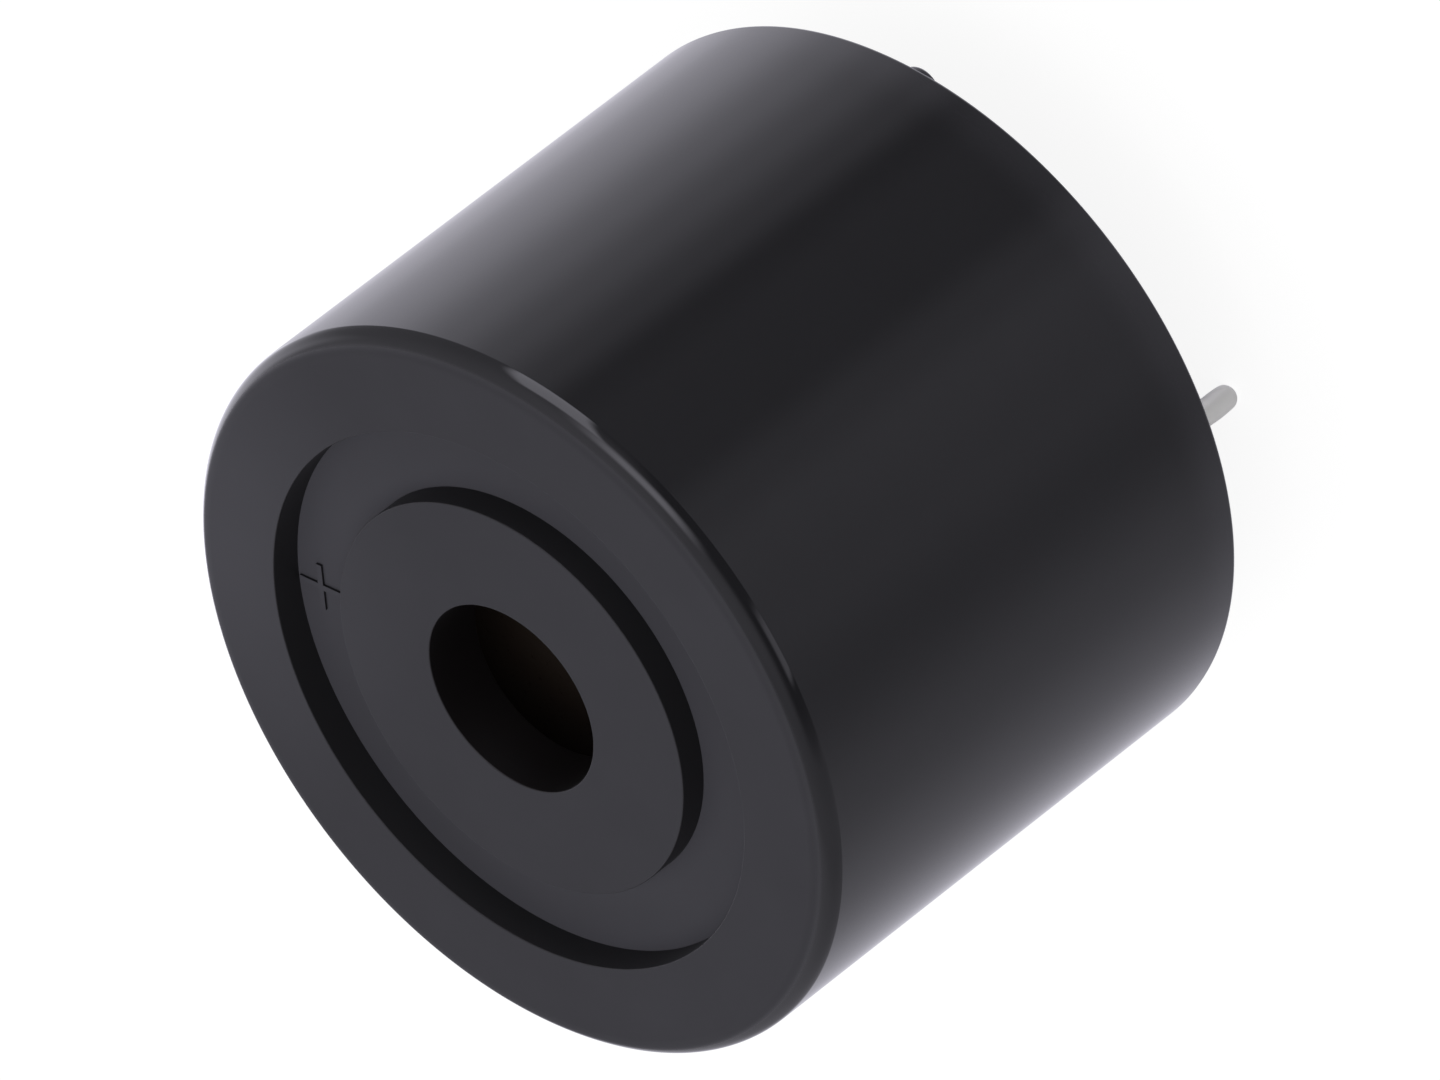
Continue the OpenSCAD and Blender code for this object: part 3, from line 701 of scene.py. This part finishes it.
def housing_plastic():
    material, tree, shader = new_finish("housing_plastic", IOR=1.5)
    place, height, radius, matt = cup_places(tree)
    clouds = grain(tree, place, 0.5)
    body = blend(tree, matt, polished_colour(tree, clouds, height, radius),
                 eroded_colour(tree, place, clouds, height, radius))
    # Painted highlight: the feet are coloured paler.
    wear_and_highlight = soft_step(tree, height, *FOOT_HIGHLIGHT_Z)
    tree.links.new(blend(tree, wear_and_highlight, body, FOOT_PAINTED_HIGHLIGHT), shader.inputs["Base Color"])
    haze = grain(tree, place, 0.35, 5)
    gloss = between(tree, haze, WALL_ROUGHNESS - 0.01, WALL_ROUGHNESS + 0.02)
    dry = between(tree, haze, FACE_ROUGHNESS - 0.03, FACE_ROUGHNESS + 0.05)
    in_groove = between(tree, soft_step(tree, radius, *GROOVE_WALL_R), 0, GROOVE_ROUGHNESS)
    tree.links.new(arithmetic(tree, "MAXIMUM", blend(tree, matt, gloss, dry, "FLOAT"),
                              in_groove), shader.inputs["Roughness"])
    spark = arithmetic(tree, "MULTIPLY", grain(tree, place, 11, 3), matt)
    wave = arithmetic(tree, "MULTIPLY", grain(tree, place, 1.1, 2), 0.3)
    add_bump(tree, shader, arithmetic(tree, "ADD", spark, wave), 0.0018 * MM)
    return material


dress(cup, housing_plastic())
print("cup: roughness", WALL_ROUGHNESS, "on its walls and", FACE_ROUGHNESS, "on its face")

# %% [markdown]
# The tin on the pins is satin and a little uneven, with faint drawing lines along the wire.
# Full metal would turn nearly black where it faces the dark side of the room, but dip tin
# has a fine crystal bloom that scatters light from everywhere, so most of it is matt white.

# %% Finish: tinned pins
TIN_METAL = 0.2
TIN_LOW = (0.93, 0.92, 0.90)
TIN_HIGH = (0.99, 0.98, 0.96)
TIN_ROUGHNESS = 0.5


def tinned_pins():
    material, tree, shader = new_finish("tinned_pins", Metallic=TIN_METAL)
    place = millimetres(tree)
    drawn = grain(tree, millimetres(tree, (1, 1, 0.06)), 14, 2)
    tree.links.new(blend(tree, grain(tree, place, 2), TIN_LOW, TIN_HIGH),
                   shader.inputs["Base Color"])
    tree.links.new(between(tree, grain(tree, place, 6), TIN_ROUGHNESS - 0.06,
                           TIN_ROUGHNESS + 0.06), shader.inputs["Roughness"])
    add_bump(tree, shader, arithmetic(tree, "ADD", grain(tree, place, 7, 3), drawn),
             0.003 * MM)
    return material


tin = tinned_pins()
dress(positive_pin, tin)
dress(negative_pin, tin)
print("pins: roughness", TIN_ROUGHNESS)

# %% [markdown]
# Cast resin is glossy with a slow ripple. Dust that settled while it cured leaves it a little
# rougher in patches and in specks. The ripple could be modelled, but it is only a few
# thousandths of a millimetre deep, so bump shows it better.

# %% Finish: casting resin
def casting_resin():
    material, tree, shader = new_finish("casting_resin", IOR=1.52)
    place = millimetres(tree)
    slow = grain(tree, place, 0.22, 2)
    tree.links.new(blend(tree, slow, (0.010, 0.010, 0.012), (0.016, 0.016, 0.018)),
                   shader.inputs["Base Color"])
    dust = soft_step(tree, grain(tree, place, 6, 6, 0.7), 0.62, 0.72)
    level = between(tree, grain(tree, place, 0.6, 4), 0.16, 0.30)
    tree.links.new(arithmetic(tree, "ADD", level, arithmetic(tree, "MULTIPLY", dust, 0.25)),
                   shader.inputs["Roughness"])
    ripple = arithmetic(tree, "MULTIPLY", slow, 8)
    add_bump(tree, shader, arithmetic(tree, "ADD", ripple, dust), 0.006 * MM)
    return material


dress(resin, casting_resin())
print("resin: dressed in", resin.data.materials[0].name)

# %% [markdown]
# ### Inside the cup
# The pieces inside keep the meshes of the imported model, because face and resin close the cup
# over them. Each still has the finish that it has on the bench: a body colour with a grain, a
# sheen that varies with it, a fine bump, and specks where it tarnishes. They differ in
# numbers only, so one helper builds them all.

# %% Helper: plain bodies and metals
def bench_finish(name, low, high, per_mm, rough, depth, metallic=0.0, stretch=(1, 1, 1),
                 speck=None):
    """A finish with a grain between two colours, and specks of a third colour if any."""
    material, tree, shader = new_finish(name, Metallic=metallic)
    even = millimetres(tree)
    fine = grain(tree, millimetres(tree, stretch), per_mm, 4)
    patches = grain(tree, even, 0.5, 4)
    colour = blend(tree, fine, low, high)
    if speck:
        spots = soft_step(tree, grain(tree, even, per_mm * 0.8, 5, 0.65), 0.6, 0.7)
        colour = blend(tree, spots, colour, speck)
    tree.links.new(colour, shader.inputs["Base Color"])
    sheen = arithmetic(tree, "ADD", arithmetic(tree, "MULTIPLY", fine, 0.4),
                       arithmetic(tree, "MULTIPLY", patches, 0.6))
    tree.links.new(between(tree, sheen, rough[0], rough[1], 0.25, 0.75),
                   shader.inputs["Roughness"])
    add_bump(tree, shader, arithmetic(tree, "ADD", fine, arithmetic(
        tree, "MULTIPLY", patches, 2)), depth * MM)
    return material


def dress_nodes(names, *recipe, **details):
    """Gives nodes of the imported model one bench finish."""
    material = bench_finish(*recipe, **details)
    for name in names.split():
        dress(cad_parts[name], material)
    print(material.name + ":", names)


print("bench finishes: name, two colours, grains to a mm, roughness range, bump in mm")

# %% [markdown]
# The sounder is a disc of fired ceramic, silvered on its back, bonded to brass and held in
# silicone. The brass is all that shows, deep in the port, where little light reaches it, so it
# is painted nearly black as painted shade.

# %% Finishes: sounder
# Painted shade: the brass is coloured nearly black for the dark inside of the port.
dress_nodes("diaphragm_plate", "tarnished_brass", (0.070, 0.052, 0.042),
            (0.088, 0.064, 0.050), 6, (0.7, 0.85), 0.004, 0.5, (0.15, 1, 1),
            (0.045, 0.03, 0.02))
dress_nodes("piezo_ceramic", "fired_ceramic", (0.66, 0.62, 0.52), (0.76, 0.72, 0.62), 14,
            (0.6, 0.8), 0.006, speck=(0.52, 0.47, 0.38))
dress_nodes("main_electrode feedback_electrode", "fired_silver", (0.66, 0.66, 0.67),
            (0.82, 0.82, 0.83), 10, (0.4, 0.62), 0.004, 0.9, speck=(0.5, 0.48, 0.45))
dress_nodes("sealant_bead", "cured_sealant", (0.62, 0.62, 0.59), (0.74, 0.74, 0.71), 2,
            (0.3, 0.5), 0.02)

# %% [markdown]
# Three insulated wires lead from the sounder to the board, in the colours by which a worker
# tells them apart. Solder freezes with bright domes and dull, grainy patches.

# %% Finishes: wires and solder
dress_nodes("main_wire", "red_sleeve", (0.40, 0.016, 0.012), (0.50, 0.03, 0.02), 5,
            (0.32, 0.5), 0.006)
dress_nodes("feedback_wire", "blue_sleeve", (0.016, 0.06, 0.34), (0.03, 0.10, 0.45), 5,
            (0.32, 0.5), 0.006)
dress_nodes("ground_wire", "black_sleeve", (0.011, 0.011, 0.011), (0.02, 0.02, 0.02), 5,
            (0.35, 0.52), 0.006)
dress_nodes("sounder_solder board_solder", "frozen_solder", (0.50, 0.51, 0.53),
            (0.68, 0.69, 0.71), 4, (0.22, 0.48), 0.012, 1.0, speck=(0.38, 0.36, 0.33))

# %% [markdown]
# The board is brown paper laminate, whose fibres run one way, so its grain is stretched along
# them. Its etched copper has dull brown specks, and the leads are tinned wire.

# %% Finishes: board, copper and leads
dress_nodes("driver_board", "paper_laminate", (0.36, 0.20, 0.065), (0.48, 0.28, 0.10), 9,
            (0.5, 0.7), 0.008, stretch=(0.2, 1, 1), speck=(0.28, 0.15, 0.05))
dress_nodes("copper_tracks", "etched_copper", (0.62, 0.27, 0.13), (0.78, 0.38, 0.2), 5,
            (0.3, 0.5), 0.004, 1.0, speck=(0.35, 0.15, 0.08))
dress_nodes("transistor_legs coil_legs resistor_leads diode_leads capacitor_legs",
            "tinned_leads", (0.58, 0.58, 0.60), (0.70, 0.70, 0.72), 8, (0.26, 0.44), 0.005,
            1.0, (1, 1, 0.1))

# %% [markdown]
# The circuit's parts are a transistor in black moulding compound, a ferrite bobbin as matt as
# slate, its winding, and a capacitor with a thick dipped coat. The winding is one ring in
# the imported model, so its turns are a grain squeezed along the axis.

# %% Finishes: transistor, coil and capacitor
dress_nodes("transistor", "transistor_body", (0.014, 0.014, 0.014),
            (0.024, 0.024, 0.024), 12, (0.5, 0.7), 0.008)
dress_nodes("coil_core", "sintered_ferrite", (0.045, 0.045, 0.047), (0.08, 0.08, 0.082), 10,
            (0.65, 0.85), 0.014, speck=(0.12, 0.12, 0.12))
dress_nodes("coil_winding", "enamelled_turns", (0.42, 0.15, 0.05), (0.58, 0.24, 0.09), 4,
            (0.2, 0.35), 0.006, 0.85, (0.2, 0.2, 3))
dress_nodes("capacitor", "dipped_coat", (0.56, 0.33, 0.035), (0.66, 0.42, 0.06), 2,
            (0.14, 0.28), 0.01)

# %% [markdown]
# The resistors and the diode carry painted rings, which tell their value and direction.
# Painted faces would need cut meshes. Instead a Mapping node puts the pattern's zero at the
# middle of each body and turns it along the body, and a stepped ramp paints the rings, with
# a little wobble as the paint wheel leaves it.

# %% Helper: banded bodies
def banded_finish(name, centre, turn, length, base, bands, rough):
    """A body colour with rings of paint, each given by its middle, width and colour."""
    material, tree, shader = new_finish(name)
    place = millimetres(tree, centre=centre, turn=turn)
    along = add_node(tree, "ShaderNodeSeparateXYZ", {"Vector": place}).outputs["X"]
    wobble = between(tree, grain(tree, millimetres(tree), 3), -0.03, 0.03)
    share = between(tree, arithmetic(tree, "ADD", along, wobble), 0, 1,
                    -length / MM / 2, length / MM / 2)
    ramp = add_node(tree, "ShaderNodeValToRGB", {"Fac": share})
    ramp.color_ramp.interpolation = "CONSTANT"
    ramp.color_ramp.elements[0].color = (*base, 1)
    ramp.color_ramp.elements.remove(ramp.color_ramp.elements[1])
    for middle, width, colour in bands:
        for position, paint in ((middle - width / 2, colour), (middle + width / 2, base)):
            ramp.color_ramp.elements.new(position).color = (*paint, 1)
    dusty = tuple(min(1, part * 1.25 + 0.01) for part in base)
    fine = grain(tree, millimetres(tree), 7, 4)
    wear_and_highlight = arithmetic(tree, "MULTIPLY", soft_step(tree, fine, 0.5, 0.75), 0.25)
    tree.links.new(blend(tree, wear_and_highlight, ramp.outputs["Color"], dusty),
                   shader.inputs["Base Color"])
    tree.links.new(between(tree, fine, rough[0], rough[1]), shader.inputs["Roughness"])
    add_bump(tree, shader, fine, 0.005 * MM)
    return material


print("bands: places are shares of a body's length")

# %% Finishes: resistors and diode
BEIGE = (0.60, 0.44, 0.24)
BROWN, BLACK, RED = (0.13, 0.045, 0.02), (0.01, 0.01, 0.01), (0.45, 0.02, 0.015)
YELLOW, VIOLET, GOLD = (0.7, 0.5, 0.03), (0.16, 0.03, 0.28), (0.45, 0.3, 0.08)
AMBER_GLASS = (0.48, 0.15, 0.04)
BAND_PLACES = (0.16, 0.38, 0.55, 0.84)
BAND_WIDTH = 0.07
RESISTOR_LENGTH, RESISTOR_LIFT = 3.3 * MM, 0.95 * MM
DIODE_LENGTH, DIODE_LIFT = 3.8 * MM, 0.9 * MM
resistors = {"bias_resistor": ((0, 7.3), 0, (BROWN, BLACK, YELLOW)),
             "feedback_resistor": ((-5.6, 4.4), 52, (YELLOW, VIOLET, RED)),
             "load_resistor": ((5.6, 4.4), 128, (BROWN, BLACK, RED))}
for node, ((x, y), degrees, colours) in resistors.items():
    rings = [(middle, BAND_WIDTH, colour)
             for middle, colour in zip(BAND_PLACES, (*colours, GOLD))]
    dress(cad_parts[node], banded_finish(
        node + "_coat", (x * MM, y * MM, ledge_z + RESISTOR_LIFT), math.radians(degrees),
        RESISTOR_LENGTH, BEIGE, rings, (0.3, 0.5)))
dress(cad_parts["diode"], banded_finish(
    "diode_glass", (5.9 * MM, -4.3 * MM, ledge_z + DIODE_LIFT), math.radians(54),
    DIODE_LENGTH, AMBER_GLASS, [(0.17, 0.12, BLACK)], (0.06, 0.14)))
print("banded bodies:", len(resistors) + 1)

# %% [markdown]
# ## Studio
# A black glossy body shows the room more than itself, so the room gives it its shape. Real
# lamps and cards would do, but they also light the matt parts and are seen by the camera. The
# world can tell kinds of rays apart: matt surfaces get a plain, even light, gloss gets a
# studio with bright panels, paler walls and a dim gap, and the camera gets a white backdrop.
# Directions in the room are counted in degrees round from the camera's side, and in degrees
# above the level.

# %% World: rings of light and panels
PEAK = 2.5
COOL = (1.02, 1.0, 1.12)


def light_colour(level):
    """A light level as a slightly cool colour, as a share of the brightest one."""
    return tuple(level / PEAK * part for part in COOL)


def level_ramp(tree, share, stops):
    """A ring of light levels round the part, from stops of (degrees, level)."""
    ring = add_node(tree, "ShaderNodeValToRGB", {"Fac": share})
    ring.color_ramp.interpolation = "EASE"
    ring.color_ramp.elements.remove(ring.color_ramp.elements[1])
    for number, (degrees, level) in enumerate(stops):
        position = (degrees + 180) / 360
        if number == 0:
            stop = ring.color_ramp.elements[0]
            stop.position = position
        else:
            stop = ring.color_ramp.elements.new(position)
        stop.color = (*light_colour(level), 1)
    return ring.outputs["Color"]


def hang_panel(tree, room, around, rise, level, sides, heights, lean):
    """Hangs a panel of one level in the room. Each edge fades in between two angles."""
    skewed = arithmetic(tree, "ADD", around, arithmetic(tree, "MULTIPLY", rise, lean))
    mask = 1.0
    for value, edges in ((skewed, sides), (rise, heights)):
        for start, full in (edges[:2], edges[:1:-1]):
            mask = arithmetic(tree, "MULTIPLY", mask, soft_step(tree, value, start, full))
    return blend(tree, mask, room, light_colour(level))


print("room: brightest level", PEAK)

# %% [markdown]
# Three rings give the light level all the way round: below the level of the part, beside it
# and above it. The panels hang in front of them. Each has its level, its two sides and its
# lower and upper edge as (fade starts, full, full, fade ends), and how far it leans.

# %% World: the room that gloss sees
LOW_RING = ((-180, 0.72), (-150, 0.70), (-116, 0.57), (-84, 0.49), (-52, 0.33), (-28, 0.44),
            (-4, 0.50), (8, 0.42), (22, 0.26), (44, 0.26), (56, 0.21), (68, 0.45),
            (84, 0.74), (100, 1.0), (120, 1.20), (142, 1.05), (162, 0.85), (180, 0.72))
MIDDLE_RING = ((-180, 0.82), (-168, 0.80), (-158, 0.55), (-148, 0.32), (-120, 0.28),
               (-98, 0.33), (-80, 0.40), (-66, 0.38), (-56, 0.24), (-30, 0.15), (20, 0.10),
               (34, 0.20), (76, 0.36), (92, 0.33), (120, 0.26), (145, 0.32), (156, 0.70),
               (168, 0.9), (180, 0.82))
HIGH_RING = ((-180, 0.76), (-130, 0.86), (-108, 0.74), (-88, 0.58), (-60, 0.50), (-30, 0.60),
             (0, 0.62), (30, 0.76), (60, 0.76), (85, 0.70), (108, 0.72), (133, 0.88),
             (160, 0.80), (180, 0.76))
LOW_TO_MIDDLE = (-34.2, -33.2)
MIDDLE_TO_HIGH = (-45, 60)
PANELS = {"dim gap": (0.13, (-66, -46, 12, 32), (-33, -31, 8, 34), 0.0),
          "pale strip": (0.95, (-43, -38, -27, -16), (-33, -31, -14, 2), 0.0),
          "narrow lamp": (2.3, (37.5, 43, 64, 70.5), (-33, -31, 8, 16), 0.2),
          "high lamp": (2.3, (-4, 18, 30, 56), (0, 22, 30, 46), 0.0),
          "back lamp": (1.75, (114, 158, 174, 184), (-34, -32, 2, 20), 0.6)}


def studio_room(tree, around, rise):
    """The colour of the room in a direction: three blended rings, then the panels."""
    share = between(tree, around, 0, 1, -180, 180)
    low, middle, high = (level_ramp(tree, share, ring)
                         for ring in (LOW_RING, MIDDLE_RING, HIGH_RING))
    room = blend(tree, soft_step(tree, rise, *LOW_TO_MIDDLE), low, middle)
    room = blend(tree, soft_step(tree, rise, *MIDDLE_TO_HIGH), room, high)
    for panel in PANELS.values():
        room = hang_panel(tree, room, around, rise, *panel)
    return room


print("room: rings of", len(LOW_RING), len(MIDDLE_RING), len(HIGH_RING), "levels, with a",
      ", a ".join(PANELS))

# %% [markdown]
# The world's colour depends on its direction, so it reads Generated coordinates, turned until
# the camera's side is at zero. Light Path then sorts the rays.

# %% World: one light for each kind of ray
CAMERA_SIDE = 130.6
PLAIN_LEVEL = 0.62


def studio_world():
    world = bpy.data.worlds.new("studio")
    bpy.context.scene.world = world
    world.use_nodes = True
    tree = world.node_tree
    tree.nodes.clear()
    place = add_node(tree, "ShaderNodeTexCoord")
    turned = add_node(tree, "ShaderNodeMapping", {"Vector": place.outputs["Generated"]},
                      Rotation=(0, 0, math.radians(CAMERA_SIDE)))
    part = add_node(tree, "ShaderNodeSeparateXYZ", {"Vector": turned.outputs["Vector"]})
    around = arithmetic(tree, "DEGREES", arithmetic(
        tree, "ARCTAN2", part.outputs["Y"], part.outputs["X"]))
    rise = arithmetic(tree, "DEGREES", arithmetic(tree, "ARCSINE", part.outputs["Z"]))
    gloss = add_node(tree, "ShaderNodeBackground", {"Color": studio_room(tree, around, rise)},
                     Strength=PEAK)
    plain = add_node(tree, "ShaderNodeBackground", Strength=PLAIN_LEVEL)
    white = add_node(tree, "ShaderNodeBackground", Strength=1.0)
    path = add_node(tree, "ShaderNodeLightPath")
    lit = add_node(tree, "ShaderNodeMixShader", {
        0: path.outputs["Is Glossy Ray"], 1: plain.outputs[0], 2: gloss.outputs[0]})
    backdrop = arithmetic(tree, "MAXIMUM", path.outputs["Is Camera Ray"],
                          path.outputs["Is Transmission Ray"])
    final = add_node(tree, "ShaderNodeMixShader", {
        0: backdrop, 1: lit.outputs[0], 2: white.outputs[0]})
    add_node(tree, "ShaderNodeOutputWorld", {"Surface": final.outputs[0]})
    return world


print("world:", studio_world().name, "with a plain level of", PLAIN_LEVEL)

# %% [markdown]
# The floor is a sheet of white paper just below the tips of the pins. It glows to the camera
# almost as bright as the backdrop, so only the part's soft shadow shows on it, and to other
# rays it is plain paper that throws light back up. Seen from its back it is clear, so that
# the part can be looked at from below.

# %% Floor
FLOOR_GLOW = 0.88
FLOOR_WIDTH = 6
BELOW_PINS = 0.02 * MM
clean_slate()
bpy.ops.mesh.primitive_plane_add(size=FLOOR_WIDTH, location=(0, 0, cad_low.z - BELOW_PINS))
floor = bpy.context.object
floor.name = "floor"
floor.visible_glossy = False


def floor_paper():
    material, tree, shader = new_finish("floor_paper")
    tree.nodes.remove(shader)
    matt = add_node(tree, "ShaderNodeBsdfDiffuse", Color=(0.24, 0.24, 0.24, 1))
    glow = add_node(tree, "ShaderNodeEmission", Strength=FLOOR_GLOW)
    sheet = add_node(tree, "ShaderNodeAddShader", {0: matt.outputs[0], 1: glow.outputs[0]})
    bounce = add_node(tree, "ShaderNodeBsdfDiffuse", Color=(0.8, 0.8, 0.8, 1))
    path = add_node(tree, "ShaderNodeLightPath")
    paper = add_node(tree, "ShaderNodeMixShader", {
        0: path.outputs["Is Camera Ray"], 1: bounce.outputs[0], 2: sheet.outputs[0]})
    side = add_node(tree, "ShaderNodeNewGeometry")
    clear = add_node(tree, "ShaderNodeBsdfTransparent", Color=(1, 1, 1, 1))
    one_sided = add_node(tree, "ShaderNodeMixShader", {
        0: side.outputs["Backfacing"], 1: paper.outputs[0], 2: clear.outputs[0]})
    tree.links.new(one_sided.outputs[0], tree.nodes["Material Output"].inputs["Surface"])
    return material


dress(floor, floor_paper())
print("floor: at", round(floor.location.z / MM, 2), "mm")

# %% [markdown]
# Two weak soft lamps add direction to the even light: the key from above the camera's side,
# and a fill from behind. Gloss doesn't see them, because the room already has its panels.

# %% Lamps
part_middle = Vector((0, 0, 9.75 * MM))


def soft_lamp(name, place, size, power):
    """A square soft light that looks at the middle of the part."""
    data = bpy.data.lights.new(name, "AREA")
    data.size = size
    data.energy = power
    lamp = bpy.data.objects.new(name, data)
    bpy.context.scene.collection.objects.link(lamp)
    lamp.location = place
    lamp.rotation_euler = (Vector(place) - part_middle).to_track_quat("Z", "Y").to_euler()
    lamp.visible_glossy = False
    print(name + ":", power, "W,", round((lamp.location - part_middle).length, 2), "m away")


soft_lamp("key_light", (-0.35, -0.25, 0.45), 0.4, 1.1)
soft_lamp("fill_light", (0.4, 0.3, 0.3), 0.5, 0.7)

# %% [markdown]
# The camera looks down on the face and is rolled far over, so that the part seems to fly. It
# is built from its own three directions, because a rotation typed as three angles is hard to
# read once the camera is rolled. A long lens from most of a metre away keeps the far end
# of the cup nearly as wide as the near one.

# %% Camera
FRAME_WIDTH = 1440
PIXELS_PER_METRE = 34758
OFF_MIDDLE = (7.63, 3.74)
view_rise = math.radians(34.729)
view_turn = math.atan2(-0.620, -0.532)
view_roll = math.radians(127.593)
view_distance = 0.7854
view_back = Vector((math.cos(view_rise) * math.cos(view_turn),
                    math.cos(view_rise) * math.sin(view_turn), math.sin(view_rise)))
level_up = (Vector((0, 0, 1)) - view_back * view_back.z).normalized()
level_right = level_up.cross(view_back)
across = level_right * math.cos(view_roll) - level_up * math.sin(view_roll)
upwards = level_right * math.sin(view_roll) + level_up * math.cos(view_roll)
lens = bpy.data.cameras.new("camera")
lens.sensor_width = 36
lens.lens = PIXELS_PER_METRE * view_distance * lens.sensor_width / FRAME_WIDTH
lens.clip_start = 0.02
lens.clip_end = 10
camera = bpy.data.objects.new("camera", lens)
bpy.context.scene.collection.objects.link(camera)
stand = (part_middle + view_back * view_distance
         + (across * OFF_MIDDLE[0] + upwards * OFF_MIDDLE[1]) / PIXELS_PER_METRE)
camera.matrix_world = (Matrix.Translation(stand)
                       @ Matrix((across, upwards, view_back)).transposed().to_4x4())
bpy.context.scene.camera = camera
bpy.context.scene.view_settings.view_transform = "Standard"
print("camera: looks down from", round(math.degrees(view_rise), 1), "degrees, lens",
      round(lens.lens), "mm")
